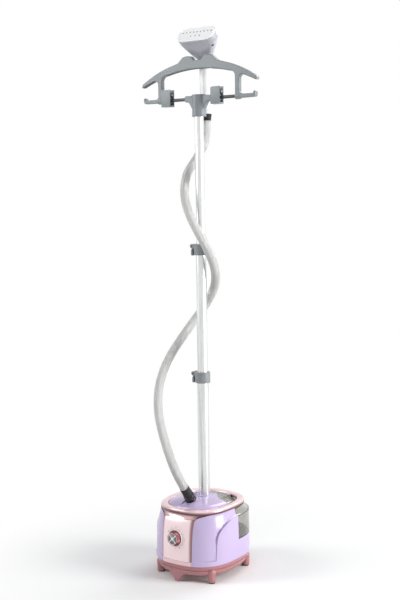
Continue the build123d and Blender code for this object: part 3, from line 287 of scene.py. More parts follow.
def moulded_abs(name, dark, light, rough, coat):
    """Injection moulded ABS: an even gloss over a faint orange peel, with slow changes of tone."""
    material, tree, shader = finish_of(name, light, rough, ior=1.54, coat=coat)
    tint(tree, shader, dark, light, noise_at(tree, 160, detail=0.0))
    orange_peel(tree, shader)
    even_gloss(tree, shader, rough)
    return material


def pearl_lacquer(name, dark, light, rough, metallic, coat):
    """ABS under pearl lacquer: fine flakes below a clear coat."""
    material, tree, shader = finish_of(name, light, rough, metallic=metallic, coat=coat, coat_rough=0.06)
    # real flakes are 0.05 mm, too fine to show, so these are ten times coarser
    tint(tree, shader, dark, light, noise_at(tree, 0.5, detail=1.0))
    orange_peel(tree, shader)
    even_gloss(tree, shader, rough)
    return material


def toned_lacquer(name, dark, light, shade_colour, rough, metallic, coat, shade_bands):
    """Pearl lacquer with painted shade: its colour falls to a dark tone along bands, each (axis, from mm, to mm),
    standing in for the shade and dark reflections where the form turns away.
    """
    material, tree, shader = finish_of(name, light, rough, metallic=metallic, coat=coat, coat_rough=0.06)
    even = tint(tree, shader, dark, light, noise_at(tree, 0.5, detail=1.0))
    where = add(tree, "SeparateXYZ", {0: add(tree, "TexCoord").outputs["Object"]})
    share = 0.0
    for axis, start, end in shade_bands:
        far = maths(tree, "ABSOLUTE", where.outputs[axis])
        share = maths(tree, "MAXIMUM", soft_step(tree, far, start * MM, end * MM), share)
    # painted shade: the flake colour is mixed towards the dark tone by the bands
    colour_by(tree, shader, share, even, shade_colour)
    even_gloss(tree, shader, rough)
    return material


def anodised_tube():
    """Drawn aluminium tube, satin anodised: faint lines along the draw."""
    material, tree, shader = finish_of("satin anodised aluminium", "#dfe0df", 0.3, metallic=0.85)
    lines = noise_at(tree, 0.9, stretch=(1, 1, 0.01))
    tint(tree, shader, "#c9cbca", "#eceded", lines)
    rough_by(tree, shader, lines, 0.22, 0.36)
    bump(tree, shader, lines, 0.006)
    return material


def brushed_face():
    """Turned aluminium disc, dark anodised, with a fine grain that breaks up the light."""
    material, tree, shader = finish_of("turned dark anodised aluminium", "#76716f", 0.38, metallic=0.9)
    tint(tree, shader, "#5d5957", "#8d8886", noise_at(tree, 0.7))
    bump(tree, shader, noise_at(tree, 0.5), 0.02)
    return material


def smoked_san():
    """SAN, injection moulded clear and tinted with smoke grey: two polished faces tint what is behind."""
    extra = {"Transmission Weight": 1.0}
    material, tree, shader = finish_of("smoked clear SAN", "#d6d4d0", 0.04, ior=1.57, extra=extra)
    tint(tree, shader, "#cfcdc9", "#dcdad6", noise_at(tree, 120, detail=0.0))
    bump(tree, shader, noise_at(tree, 12, detail=0.0), 0.006)
    return material


def steel_braid():
    """Stainless wire braid over a silicone hose: bright strands, with painted shade where they dive under each other.
    """
    material, tree, shader = finish_of("stainless wire braid", "#b9bab9", 0.4, metallic=0.45)
    split = add(tree, "SeparateXYZ", {0: add(tree, "UVMap").outputs[0]}).outputs
    strands = []
    for way in (1.0, -1.0):
        turned = maths(tree, "ADD", split[0], maths(tree, "MULTIPLY", split[1], way))
        strands.append(maths(tree, "ABSOLUTE", maths(tree, "SINE", maths(tree, "MULTIPLY", turned, pi))))
    crown = maths(tree, "MULTIPLY", *strands)
    # painted shade: the colour runs dark in the gaps where the strands dive under each other
    colour_by(tree, shader, soft_step(tree, crown, 0.05, 0.5), "#3c3d3e", "#e9e9e7")
    bump(tree, shader, crown, 0.5)
    return material


def soft_rubber(name, colour, light):
    """Moulded rubber: dull, with a fine grain."""
    material, tree, shader = finish_of(name, colour, 0.62, ior=1.52)
    tint(tree, shader, colour, light, noise_at(tree, 5))
    bump(tree, shader, noise_at(tree, 0.8), 0.03)
    return material


def cast_metal(name, dark, light, rough):
    """Bare cast metal or zinc plate: full metal, dulled by a faint grain."""
    material, tree, shader = finish_of(name, light, rough, metallic=1.0)
    tint(tree, shader, dark, light, noise_at(tree, 3))
    bump(tree, shader, noise_at(tree, 1.1), 0.04)
    return material


PRINT = moulded_abs("brown pad print", "#5a3434", "#6b4242", 0.45, 0.0)
LAVENDER = moulded_abs("lavender ABS", "#bcaacf", "#c2b1d5", 0.22, 0.3)
ROSE_TRAY = moulded_abs("dusty rose ABS", "#a86d71", "#ae7579", 0.28, 0.3)
# ring: its pearl flakes are the lacquer's own; the dark rose-brown from 197.3 mm down to 189 mm is painted shade
ROSE_PEARL = toned_lacquer("rose pearl lacquer", "#e9c4c7", "#f1d1d4", "#64383c", 0.2, 0.2, 0.6, [(2, 197.3, 189.0)])
ROSE_LIP = pearl_lacquer("rose pearl lacquer of the lip", "#e9c3c6", "#f0cfd1", 0.2, 0.2, 0.6)
# front panel: the dark rose towards its side edges is painted shade on the rolled edges
ROSE_SATIN = toned_lacquer("rose satin lacquer with painted edge shade", "#f6dbdd", "#fce6e8", "#8d6263", 0.32, 0.3, 0.2, [(0, 39.5, 48.0)])
# neck: the dark rose-brown towards the ring and towards its sides is a painted dark reflection and shade
ROSE_GLOSS = toned_lacquer("rose gloss lacquer with painted dark reflection", "#dcb2b4", "#e6c1c2", "#5e3234", 0.12, 0.35, 0.8,
                           [(0, 34.0, 62.0), (2, 181.5, 187.0)])
WINE = pearl_lacquer("wine lacquer", "#5d1a26", "#8a3040", 0.24, 0.5, 0.5)
BLACK = moulded_abs("black ABS", "#0b0b0c", "#161617", 0.22, 0.2)
WHITE = moulded_abs("white ABS", "#ebebea", "#f6f6f5", 0.22, 0.3)
SOLE_WHITE = moulded_abs("white enamel of the sole plate", "#fafafa", "#ffffff", 0.5, 0.0)
HEAD_GREY = moulded_abs("light grey ABS", "#a5a5ad", "#adadb5", 0.26, 0.3)
HANGER_GREY = moulded_abs("grey nylon", "#7f8588", "#868c8f", 0.4, 0.0)
CLAMP_GREY = moulded_abs("mid grey nylon", "#7c8082", "#84888a", 0.4, 0.0)
CHARCOAL = moulded_abs("charcoal ABS", "#1a1b1c", "#212223", 0.5, 0.0)
DARK_ROD = moulded_abs("charcoal nylon", "#313335", "#414446", 0.4, 0.0)
SMOKED = smoked_san()
POLE = anodised_tube()
TURNED = brushed_face()
BRAID = steel_braid()
RUBBER = soft_rubber("black rubber", "#121213", "#1f1f20")
SILICONE = soft_rubber("white silicone", "#c9c8c4", "#dcdbd7")
CAST = cast_metal("cast aluminium", "#9c9d9e", "#bcbdbe", 0.42)
STEEL = cast_metal("zinc plated steel", "#a3a5a6", "#c8cacb", 0.3)

SLOT_FINISH = {"rose_plastic": ROSE_TRAY, "black_rubber": RUBBER, "lavender_plastic": LAVENDER,
               "rose_gold_plastic": ROSE_PEARL, "white_plastic": WHITE, "wine_plastic": WINE,
               "brushed_face": TURNED, "black_plastic": BLACK, "steel": STEEL, "charcoal_plastic": CHARCOAL,
               "smoked_clear": SMOKED, "boiler_aluminium": CAST, "silicone": SILICONE, "silver_tube": POLE,
               "grey_plastic": HANGER_GREY, "dark_rod": DARK_ROD, "light_grey_plastic": HEAD_GREY,
               "white_gloss": WHITE, "braided_hose": BRAID}
SLOTS = {part["node"]: part["material_slot"] for part in frame["record"]["subparts"]}
for node_name, cad_piece in NODES.items():
    cad_piece.data.materials.clear()
    cad_piece.data.materials.append(SLOT_FINISH[SLOTS[node_name]])


# ---------------------------------------------------------------- making pieces
def placed(name, mesh, material, body, slot, replaced=None):
    """A piece of that mesh and material, on its body, and in the place of a CAD node if it replaces one."""
    mesh.materials.append(material)
    made = linked(name, mesh)
    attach(made, body)
    if replaced:
        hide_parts(replaced)
    return made


def piece_from(name, patch, material, body, slot, replaced=None, sharp=None):
    """A piece from points in millimetres: doubles joined, faces turned out, shaded smooth."""
    verts, faces = patch
    mesh = bpy.data.meshes.new(name)
    mesh.from_pydata([tuple(float(v) * MM for v in vert) for vert in verts], [], faces)
    shape = bmesh.new()
    shape.from_mesh(mesh)
    bmesh.ops.remove_doubles(shape, verts=shape.verts, dist=0.02 * MM)
    bmesh.ops.dissolve_degenerate(shape, edges=shape.edges, dist=0.005 * MM)
    bmesh.ops.recalc_face_normals(shape, faces=shape.faces)
    shape.to_mesh(mesh)
    shape.free()
    mesh.shade_smooth()
    if sharp:
        mesh.set_sharp_from_angle(angle=radians(sharp))
    return placed(name, mesh, material, body, slot, replaced)


def dressed(name, patch, material, node, sharp=None):
    """A piece that takes a CAD node's place, on its body."""
    return piece_from(name, patch, material, NODES[node]["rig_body"], SLOTS[node], node, sharp)


def thick(piece, wall, side=-1):
    """Gives an open skin its wall, inwards, or outwards with side 1."""
    added = piece.modifiers.new("wall", "SOLIDIFY")
    added.thickness = wall * MM
    added.offset = side
    added.use_even_offset = True
    added.use_quality_normals = True
    settle(piece)


def eased(piece, width, angle=35, segments=3):
    """Rounds the crisp edges, so that they catch the light."""
    added = piece.modifiers.new("eased edges", "BEVEL")
    added.width = width * MM
    added.segments = segments
    added.limit_method = "ANGLE"
    added.angle_limit = radians(angle)
    added.harden_normals = True
    added.use_clamp_overlap = True
    settle(piece)


def settle(piece):
    """Applies the modifiers, in order."""
    shape = bpy.data.meshes.new_from_object(piece.evaluated_get(bpy.context.evaluated_depsgraph_get()))
    piece.modifiers.clear()
    old = piece.data
    piece.data = shape
    bpy.data.meshes.remove(old)
    shape.name = piece.name


def grid_faces(rows, columns, closed=False):
    span = columns if closed else columns - 1
    return [(i * columns + j, i * columns + (j + 1) % columns, (i + 1) * columns + (j + 1) % columns,
             (i + 1) * columns + j) for i in range(rows - 1) for j in range(span)]


def grid(rows, closed=False):
    """Points and faces of rows of points; closed joins each row's end to its start."""
    return [p for row in rows for p in row], grid_faces(len(rows), len(rows[0]), closed)


def together(*patches):
    """One patch of points and faces from several."""
    verts, faces = [], []
    for patch_verts, patch_faces in patches:
        faces += [tuple(len(verts) + v for v in face) for face in patch_faces]
        verts += list(patch_verts)
    return verts, faces


def mirrored(patch):
    """The same patch on the left."""
    verts, faces = patch
    return [(-x, y, z) for x, y, z in verts], [tuple(reversed(face)) for face in faces]


def lathe(profile, count, centre=(0, 0), shape=None):
    """Points and faces turned about Z from (radius, z), each radius changed by shape(turn, z) if given."""
    rows = []
    for radius, z in profile:
        row = []
        for k in range(count):
            turn = 2 * pi * k / count
            r = radius if shape is None else shape(radius, turn, z)
            row.append((centre[0] + r * cos(turn), centre[1] + r * sin(turn), z))
        rows.append(row)
    return grid(rows, closed=True)


def capped(patch, count, first=True, last=True):
    """A patch whose first and last rows of count points are closed by a face."""
    verts, faces = patch
    faces = list(faces)
    if first:
        faces.append(tuple(range(count)))
    if last:
        faces.append(tuple(range(len(verts) - count, len(verts))))
    return verts, faces


def softened(node, width):
    """A piece made from a CAD node with its flat faces cleaned and its edges rounded, in the node's place."""
    shape = bmesh.new()
    shape.from_mesh(NODES[node].data)
    bmesh.ops.remove_doubles(shape, verts=shape.verts, dist=0.01 * MM)
    bmesh.ops.dissolve_limit(shape, angle_limit=radians(0.6), verts=shape.verts, edges=shape.edges)
    mesh = bpy.data.meshes.new(node)
    shape.to_mesh(mesh)
    shape.free()
    mesh.shade_smooth()
    slot = SLOTS[node]
    made = placed(node + "_eased", mesh, SLOT_FINISH[slot], NODES[node]["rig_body"], slot, node)
    eased(made, width, 40)
    return made


# ---------------------------------------------------------------- steam hose
# Route points in millimetres; each stretch is a flexible hose of its own between its cuffs.
HOSE_DIA = 24.5
HOSE_RUNS = {
    "hose_lower": [(0, -86.77, 251.66), (0, -117.55, 291.06), (-13, -135, 352), (-43, -127, 414), (-76, -101, 470),
                   (-98, -62, 530), (-96, -20, 594), (-79, 7, 635)],
    "hose_upper": [(-79, 7, 635), (-62, 34, 676), (-23, 56, 734), (18, 49, 790), (43, 15, 844), (38, -19, 904),
                   (10, -37, 964), (-23, -32, 1022), (-33.8, -17.6, 1050)],
    "hose_tail": [(-33.8, -17.6, 1050), (-50, 4, 1092), (-36, 40, 1140), (0, 41, 1188), (0, 41, 1244)],
}
BRAID_PITCH = 5.2        # a real braid is 2.5 mm, too fine to show, so this one is twice as coarse
BRAID_STRANDS = 24       # half of them lean each way
BRAID_POINTS = 48        # points round the hose
STRAND_HIGH = 0.4        # a strand stands this far over or under the others' middle
NECK = 4.0               # over this length at each end the strands sink into a plain neck


def route_line(name, points):
    """The smooth line of a route, as points in metres."""
    curve = bpy.data.curves.new(name, "CURVE")
    curve.dimensions = "3D"
    curve.resolution_u = 48
    spline = curve.splines.new("NURBS")
    spline.points.add(len(points) - 1)
    for spot, point in zip(spline.points, points):
        spot.co = [value * MM for value in point] + [1.0]
    spline.order_u = 3
    spline.use_endpoint_u = True
    return drawn(name, curve)[0]


def even_line(line, step):
    """The same line, with points step apart."""
    line = np.array(line)
    along = np.concatenate([[0], np.cumsum(np.linalg.norm(np.diff(line, axis=0), axis=1))])
    spots = np.linspace(0, along[-1], max(2, round(along[-1] / step) + 1))
    return np.stack([np.interp(spots, along, line[:, k]) for k in range(3)], axis=1), spots


def frames_along(line):
    """A side and an up direction at each point, without twist."""
    run = np.gradient(line, axis=0)
    run /= np.linalg.norm(run, axis=1)[:, None]
    side = np.cross(run[0], (0.3, 1, 0.2))
    sides = []
    for way in run:
        side = side - way * side.dot(way)
        side /= np.linalg.norm(side)
        sides.append(side.copy())
    sides = np.array(sides)
    return sides, np.cross(run, sides)


def map_braid(mesh, spots):
    """The map that the strands' colours follow: strands round the hose, and half pitches along it."""
    layer = mesh.uv_layers.new(name="braid")
    for face in mesh.polygons:
        wraps = len(face.vertices) == 4 and any(v % BRAID_POINTS == BRAID_POINTS - 1 for v in face.vertices)
        for loop in face.loop_indices:
            row, column = divmod(mesh.loops[loop].vertex_index, BRAID_POINTS)
            if wraps and column == 0:
                column = BRAID_POINTS
            layer.data[loop].uv = (column / BRAID_POINTS * BRAID_STRANDS, spots[row] / (BRAID_PITCH * MM) * 2)


def make_hose(name, points):
    """A braided hose: crossed strands stand proud of it, and it ends in plain necks."""
    line = route_line(name, points)
    path, spots = even_line(line, BRAID_PITCH * MM / 4)
    sides, ups = frames_along(path)
    verts = []
    for i, centre in enumerate(path):
        ends = min(1.0, min(spots[i], spots[-1] - spots[i]) / (NECK * MM))
        for j in range(BRAID_POINTS):
            turn = 2 * pi * j / BRAID_POINTS
            weave = cos(BRAID_STRANDS / 2 * turn) * cos(2 * pi * spots[i] / (BRAID_PITCH * MM))
            radius = (HOSE_DIA / 2 - 0.45 + STRAND_HIGH * weave * ends) * MM
            verts.append(centre + radius * (sides[i] * cos(turn) + ups[i] * sin(turn)))
    faces = grid_faces(len(path), BRAID_POINTS, closed=True)
    faces += [tuple(range(BRAID_POINTS))[::-1], tuple(range(len(verts) - BRAID_POINTS, len(verts)))]
    mesh = bpy.data.meshes.new(name + "_braid")
    mesh.from_pydata([tuple(v) for v in verts], [], faces)
    map_braid(mesh, spots)
    mesh.shade_smooth()
    mesh.materials.append(BRAID)
    hose = linked(name + "_braid", mesh)
    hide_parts(name)
    return hose, line, spots[-1]


def shortens(name, body):
    """The stretch rides on body, with a mesh of its own."""
    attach(hoses[name], body)
    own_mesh(hoses[name])


hoses = {}
for hose_name, hose_points in HOSE_RUNS.items():
    hose, hose_line, hose_long = make_hose(hose_name, hose_points)
    hoses[hose_name] = hose
    [tuple(float(v) for v in point) for point in hose_line]
shortens("hose_lower", "base")
shortens("hose_upper", "pole_middle")
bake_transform(hoses["hose_tail"])


# ---------------------------------------------------------------- forms of the base, in millimetres
OVAL_POWER = 2.6
HALF_X, HALF_Y = 116.0, 131.0
DEPTH_SHARE = 1.15
LOW_Z, LEDGE_Z, TANK_Z, CREASE_Z, RING_Z = 50.0, 64.0, 102.3, 167.6, 187.0
SEAM_Y, BAY_Y = 6.0, 6.3
RING_IN = 13.0           # the ring stands this far in from the oval
FRONT_STEP = 1.5         # the housing's front edge lies this far in from the front panel
COVE_START, COVE_RUN, COVE_DEEP = 1.7, 17.0, 11.3        # the hollow shoulder
CREASE_LONG = 159.5


def held(value):
    """The value, kept between 0 and 1."""
    return min(1.0, max(0.0, value))


def quarter_round(share):
    """The rise of a quarter circle, from 0 to 1."""
    return sqrt(max(0.0, 1 - (1 - share) ** 2))


def smooth_line(*knots):
    """A smooth value through (place, value) knots, that never swings past them."""
    xs, ys = np.array(knots, float).T
    slope = np.diff(ys) / np.diff(xs)
    both = slope[:-1] * slope[1:]
    inner = np.where(both > 0, 2 * both / np.where(both > 0, slope[:-1] + slope[1:], 1), 0)
    lean = np.concatenate([slope[:1], inner, slope[-1:]])

    def value(x):
        x = np.clip(x, xs[0], xs[-1])
        i = np.clip(np.searchsorted(xs, x) - 1, 0, len(xs) - 2)
        h = xs[i + 1] - xs[i]
        t = (x - xs[i]) / h
        return (ys[i] * (1 + 2 * t) * (1 - t) ** 2 + lean[i] * h * t * (1 - t) ** 2
                + ys[i + 1] * t * t * (3 - 2 * t) - lean[i + 1] * h * t * t * (1 - t))
    return value


side_in = smooth_line((44, 0), (80, 0.1), (120, 0.5), (150, 1.1), (168, 1.7))
front_in = smooth_line((44, 0), (72, 0.2), (100, 0.8), (125, 2.2), (148, 4.6), (170, 8.5), (187, 12.4), (200, 13))
crease_y = smooth_line((0, -82), (28, -80), (57, -77), (68, -73.5), (80.5, -67), (98, -53), (116, -37), (133, -20),
                       (150.5, -3), (159.5, 6))
crease_z = smooth_line((0, 64), (28, 92), (57, 121), (68, 132.5), (80.5, 142), (98, 153), (116, 161), (133, 165),
                       (150.5, 167.2), (159.5, CREASE_Z))
CREASE_LINE = np.array([(crease_y(s), crease_z(s)) for s in np.linspace(0, CREASE_LONG, 400)])


def halves(inward, extra=0.0):
    """The oval's half width and half depth, inward from its widest, and extra evenly."""
    return HALF_X - inward - extra, HALF_Y - inward * DEPTH_SHARE - extra


def oval(share):
    """How far out the oval is, as a share of one half, at a share of the other."""
    return max(0.0, 1 - abs(share) ** OVAL_POWER) ** (1 / OVAL_POWER)


def reach(turn, inward, extra=0.0):
    """A point of the oval at an angle, as (x, y)."""
    a, b = halves(inward, extra)
    c, s = cos(turn), sin(turn)
    far = (abs(c / a) ** OVAL_POWER + abs(s / b) ** OVAL_POWER) ** (-1 / OVAL_POWER)
    return far * c, far * s


def turn_at_y(y, inward):
    """The angle of the right of the oval at y."""
    a, b = halves(inward)
    return atan2(y, a * oval(y / b))


def turn_at_x(x, inward):
    """The angle of the front of the oval at x."""
    a, b = halves(inward)
    return atan2(-b * oval(x / a), x)


def on_form(turn, z, inward, extra=0.0):
    x, y = reach(turn, inward, extra)
    return x, y, z


def arc_row(first, last, steps, z, inward):
    """Points of the form at one height, from one angle to another."""
    return [on_form(first + (last - first) * k / steps, z, inward) for k in range(steps + 1)]


def cove(past):
    """How far in the hollow shoulder is, at a distance past the crease."""
    return COVE_START + COVE_DEEP * quarter_round(held(past / COVE_RUN))


def set_in(y, z):
    """The set-in front and shoulder: the leaning front, met by the hollow that starts at the crease."""
    past = float(np.hypot(CREASE_LINE[:, 0] - y, CREASE_LINE[:, 1] - z).min())
    if y > SEAM_Y - 1:
        past = min(past, z - CREASE_Z)
    edge = float(side_in(z))
    # the step is sharp along the shoulder, and eases towards the foot
    soft = 1.3 - 0.9 * held((z - 100) / 60)
    step = edge + (cove(past) - edge) * min(1.0, past / soft)
    return min(float(front_in(z)) + FRONT_STEP, step, RING_IN + 0.2)


# ---------------------------------------------------------------- lavender housing
FRONT_EDGE = [(48.7, 50), (48.9, LEDGE_Z), (49.6, 110), (50.2, 150), (50.4, 163), (50.9, 169), (52.6, 174),
              (56.2, 177.8), (62, 180.6), (70, 183.1), (80, 185.5), (90, 187)]


def front_edge():
    """The housing's edge beside the front panel and under the ring, as a line of (turn, z)."""
    line = []
    for (x0, z0), (x1, z1) in zip(FRONT_EDGE[1:-1], FRONT_EDGE[2:]):
        for k in range(6):
            x, z = x0 + (x1 - x0) * k / 6, z0 + (z1 - z0) * k / 6
            line.append((turn_at_x(x, front_in(z) + FRONT_STEP), z))
    ring_start = turn_at_x(90, RING_IN)
    ring_end = turn_at_y(SEAM_Y, RING_IN)
    line += [(ring_start + (ring_end - ring_start) * k / 16, RING_Z) for k in range(17)]
    line = np.array(line)
    spots = np.concatenate([[0], np.cumsum(np.hypot(np.diff(line[:, 0]) * 110, np.diff(line[:, 1])))])
    return line, spots / spots[-1]


CREASE_STEPS = 56
LOW_ROWS = list(np.linspace(LOW_Z, LEDGE_Z - 1.0, 6))
RISES = np.linspace(0, CREASE_LONG, CREASE_STEPS + 1)
FAN = [0, 0.004, 0.01, 0.018, 0.03, 0.045, 0.065, 0.09, 0.125, 0.17, 0.23, 0.3, 0.39, 0.5, 0.62, 0.75, 0.88, 1.0]


def housing_side():
    """The housing's right half: upright wall, set-in front and shoulder, low lip, ledges and back."""
    crease = [(float(crease_y(s)), float(crease_z(s))) for s in RISES]
    # behind the crease, upright
    upright = []
    for y, z in crease:
        inward = float(side_in(z))
        first, last = turn_at_y(y, inward), turn_at_y(SEAM_Y, inward)
        upright.append(arc_row(first, last, 18, z, inward))
    # the set-in front and shoulder, fanned out from the crease
    edge, shares = front_edge()
    hollow = []
    for s, (y, z) in zip(RISES, crease):
        share = s / CREASE_LONG
        far_turn = float(np.interp(share, shares, edge[:, 0]))
        far_z = float(np.interp(share, shares, edge[:, 1]))
        near_turn = turn_at_y(y, float(side_in(z)))
        row = []
        for k in FAN:
            turn, height = near_turn + (far_turn - near_turn) * k, z + (far_z - z) * k
            inward = set_in(reach(turn, 5.0)[1], height) if k > 0 else float(side_in(z))
            row.append(on_form(turn, height, inward))
        hollow.append(row)
    # the low lip, right round from the front panel to the seam
    lip = []
    foot_turn = turn_at_y(crease[0][0], 0.1)
    for z in LOW_ROWS:
        inward = float(side_in(z))
        first, last = turn_at_x(48.8, inward), turn_at_y(SEAM_Y, inward)
        lip.append(arc_row(first, foot_turn, 17, z, inward)[:-1] + arc_row(foot_turn, last, 18, z, inward))
    ledge = [lip[-1][:18], hollow[0][::-1]]
    rise = [lip[-1][17:], upright[0]]
    # round the back, under the tank
    back = []
    for z in LOW_ROWS + [z for y, z in crease if z < TANK_Z - 1.5] + [TANK_Z - 0.3]:
        inward = float(side_in(z))
        back.append(arc_row(turn_at_y(SEAM_Y, inward), pi / 2, 30, z, inward))
    return together(grid(upright), grid(hollow), grid(lip), grid(ledge), grid(rise), grid(back))


right_side = housing_side()
housing = dressed("housing_shell", together(right_side, mirrored(right_side)), LAVENDER, "outer_housing")
thick(housing, 2.2)
eased(housing, 0.55, 38)


# ---------------------------------------------------------------- pink front panel, its lip and its neck
panel_in = smooth_line((50, -1.0), (72, -0.8), (100, -0.2), (125, 1.2), (148, 3.6), (165, 6.6), (171, 8.4),
                       (176, 11.2), (181, 13.8), (187, 14.6))
panel_half = smooth_line((50, 48.3), (64, 48.5), (110, 49.2), (150, 49.8), (163, 50.0), (169, 50.6), (174, 52.4),
                         (177.8, 56.2), (180.6, 62), (183.1, 70), (185.5, 80), (187, 90))


def front_skin(heights, edge_drop):
    """The panel's face between its two edges, which fall back by edge_drop over their last 8 mm."""
    rows = []
    for z in heights:
        half = float(panel_half(z))
        row = []
        for k in range(41):
            across = sin((k - 20) / 20 * pi / 2)
            past = max(0.0, abs(across) * half - (half - 8)) / 8
            inward = float(panel_in(z)) + edge_drop * (1 - sqrt(max(0.0, 1 - past * past)))
            row.append(on_form(turn_at_x(across * half, inward), z, inward))
        rows.append(row)
    return rows


for skin_name, low, high, finish, drop in (("front_lip", LOW_Z + 0.2, 60.7, ROSE_LIP, 2.2),
                                           ("front_panel", 61.3, 174.6, ROSE_SATIN, 3.2),
                                           ("front_neck", 175.2, RING_Z + 0.5, ROSE_GLOSS, 3.2)):
    count = max(6, round((high - low) / 3))
    skin = dressed(skin_name, grid(front_skin(np.linspace(low, high, count), drop)), finish, "front_fascia")
    thick(skin, 2.0)
    eased(skin, 0.45, 40)


# ---------------------------------------------------------------- ring, its front fixed and its rear the tank's handle
# (in from the ring's outside, z)
RING_PROFILE = [(1.6, 187.0), (0.5, 188.2), (0.0, 190.0), (0.0, 192.8), (0.4, 194.9), (1.5, 196.6), (3.2, 197.6),
                (6, 198.0), (10, 198.1), (14, 197.9), (17, 197.4), (18.8, 196.3), (19.7, 194.6), (20.0, 192.6),
                (20.0, 188.6), (19.2, 187.2)]
SPLIT = 0.3 / 103        # half of the slit between the halves, as an angle


def ring_half(name, first, last, node):
    """The part of the ring between two angles."""
    rows = []
    for k in range(81):
        turn = first + (last - first) * k / 80
        rows.append([on_form(turn, z, RING_IN, u) for u, z in RING_PROFILE])
    half = dressed(name, capped(grid(rows, closed=True), len(RING_PROFILE)), ROSE_PEARL, node, sharp=60)
    eased(half, 0.3, 60, 2)


ring_half("ring_front", pi + SPLIT, 2 * pi - SPLIT, "front_fascia")
ring_half("tank_ring_handle", SPLIT, pi - SPLIT, "tank_handle")


# ---------------------------------------------------------------- clear water tank
COVE_ROWS = [(CREASE_Z + COVE_RUN * (1 - cos(t)), COVE_START + COVE_DEEP * sin(t))
             for t in np.linspace(0.0, pi / 2, 12)]
RIM_DROP = 9.0           # the tank's rim, inside the ring
RIM_X, RIM_Y = 94.0, 107.0
TUNNEL_HALF, TUNNEL_TOP, TUNNEL_BACK = 50.7, 172.7, 68.7
WELL_Z = 180.5
BLOCK_HALF, BLOCK_Y, BLOCK_Z = 41, 30, 199.5             # the raised block: half its width, its front, its height there
HOLLOW_WIDE, ROLL_LONG = 19, 17                          # the hollow beside it, and its roll down to the rear rim
deck_rear = smooth_line((0, 31.6), (27, 31.4), (32, 25.5), (37, 18.2), (44, 10.6), (51, 7.2), (62, BAY_Y), (95, BAY_Y))


def tank_top(x, y):
    """Height of the tank's top: a raised block with a ridge, and a hollow for the fingers on each side."""
    ridge = BLOCK_HALF - 0.07 * (y - BLOCK_Y)
    past = held((abs(x) - ridge) / HOLLOW_WIDE)
    hollow = 1 - quarter_round(past)
    crown = BLOCK_Z - 0.03 * (y - BLOCK_Y) - 2.2 * (x / 42) ** 2
    block = WELL_Z + (crown - WELL_Z) * (1.0 if past == 0 else hollow ** 0.8)
    # the rear of the block rolls down to the rim
    fall = held((RIM_Y * oval(x / RIM_X) - y) / ROLL_LONG)
    return WELL_Z + (block - WELL_Z) * (fall * fall * (3 - 2 * fall)) - 1.5 * past * (1 - past) * 4


def tunnel_roof(x):
    """Height of the tunnel that clears the arched cover of the tank's bay."""
    return TUNNEL_TOP - TUNNEL_HALF + sqrt(max(0.0, TUNNEL_HALF ** 2 - x * x))


def tank_shell():
    """The tank as one closed skin: columns from its foot, over the rim and the top, down to the tunnel."""
    side_xs = [RIM_X - (RIM_X - TUNNEL_HALF) * k / 14 for k in range(15)]
    xs = side_xs + [TUNNEL_HALF * cos(pi * k / 40) for k in range(1, 40)] + [-x for x in reversed(side_xs)]
    last = len(xs) - 1
    columns = []
    for k, x in enumerate(xs):
        column = []
        for z in np.linspace(TANK_Z, CREASE_Z - 0.3, 10):
            inward = float(side_in(z))
            first = turn_at_y(BAY_Y, inward)
            column.append(on_form(first + (pi - 2 * first) * k / last, z, inward))
        first = turn_at_y(BAY_Y, RING_IN)
        turn = first + (pi - 2 * first) * k / last
        column += [on_form(turn, z, inward) for z, inward in COVE_ROWS]
        column.append(on_form(turn, RING_Z - 0.3, RING_IN + 0.1))
        column += [on_form(turn, RING_Z - 0.3, RING_IN, inset) for inset in (2, 5, 8.2)]
        rim = on_form(turn, RING_Z - 1.0, RING_IN, RIM_DROP)
        column.append(rim)
        goal = (x, float(deck_rear(abs(x))))
        for share in (0.02, 0.05, 0.09, 0.14, 0.19, 0.25, 0.31, 0.38, 0.45, 0.52, 0.6, 0.68, 0.76, 0.84, 0.92, 1.0):
            px, py = rim[0] + (goal[0] - rim[0]) * share, rim[1] + (goal[1] - rim[1]) * share
            column.append((px, py, tank_top(px, py)))
        low = TANK_Z if abs(x) >= TUNNEL_HALF - 0.01 else tunnel_roof(x)
        top = column[-1]
        steps = 6
        column += [(x, goal[1], top[2] + (low - top[2]) * s / steps) for s in range(1, steps + 1)]
        columns.append(column)
    verts, faces = grid(columns)
    tall = len(columns[0])
    inner = [k for k, x in enumerate(xs) if abs(x) <= TUNNEL_HALF + 0.01]
    # the tunnel over the arched cover: its roof, its two sides and its end
    start = len(verts)
    spring = TUNNEL_TOP - TUNNEL_HALF
    roof = [(xs[k], TUNNEL_BACK, tunnel_roof(xs[k])) for k in inner]
    fronts = [columns[k][-1] for k in inner]
    fronts[0] = (xs[inner[0]], fronts[0][1], spring)
    fronts[-1] = (xs[inner[-1]], fronts[-1][1], spring)
    feet = [(TUNNEL_HALF, TUNNEL_BACK, TANK_Z), (-TUNNEL_HALF, TUNNEL_BACK, TANK_Z)]
    verts += fronts + roof + feet
    n = len(inner)
    faces += [(start + k, start + k + 1, start + n + k + 1, start + n + k) for k in range(n - 1)]
    foot_right, foot_left = start + 2 * n, start + 2 * n + 1
    right_front, left_front = inner[0] * tall + tall - 1, inner[-1] * tall + tall - 1
    faces.append((right_front, start, start + n, foot_right))
    faces.append((left_front, start + n - 1, start + 2 * n - 1, foot_left))
    faces.append(tuple([foot_right] + [start + n + k for k in range(n)] + [foot_left]))
    floor = [k * tall for k in range(len(xs))]
    floor += [k * tall + tall - 1 for k in range(last, inner[-1] - 1, -1)] + [foot_left, foot_right]
    floor += [k * tall + tall - 1 for k in range(inner[0], -1, -1)]
    faces.append(tuple(floor))
    return verts, faces


tank = dressed("water_tank_shell", tank_shell(), SMOKED, "water_tank", sharp=50)
thick(tank, 2.0)
eased(tank, 0.5, 50, 2)


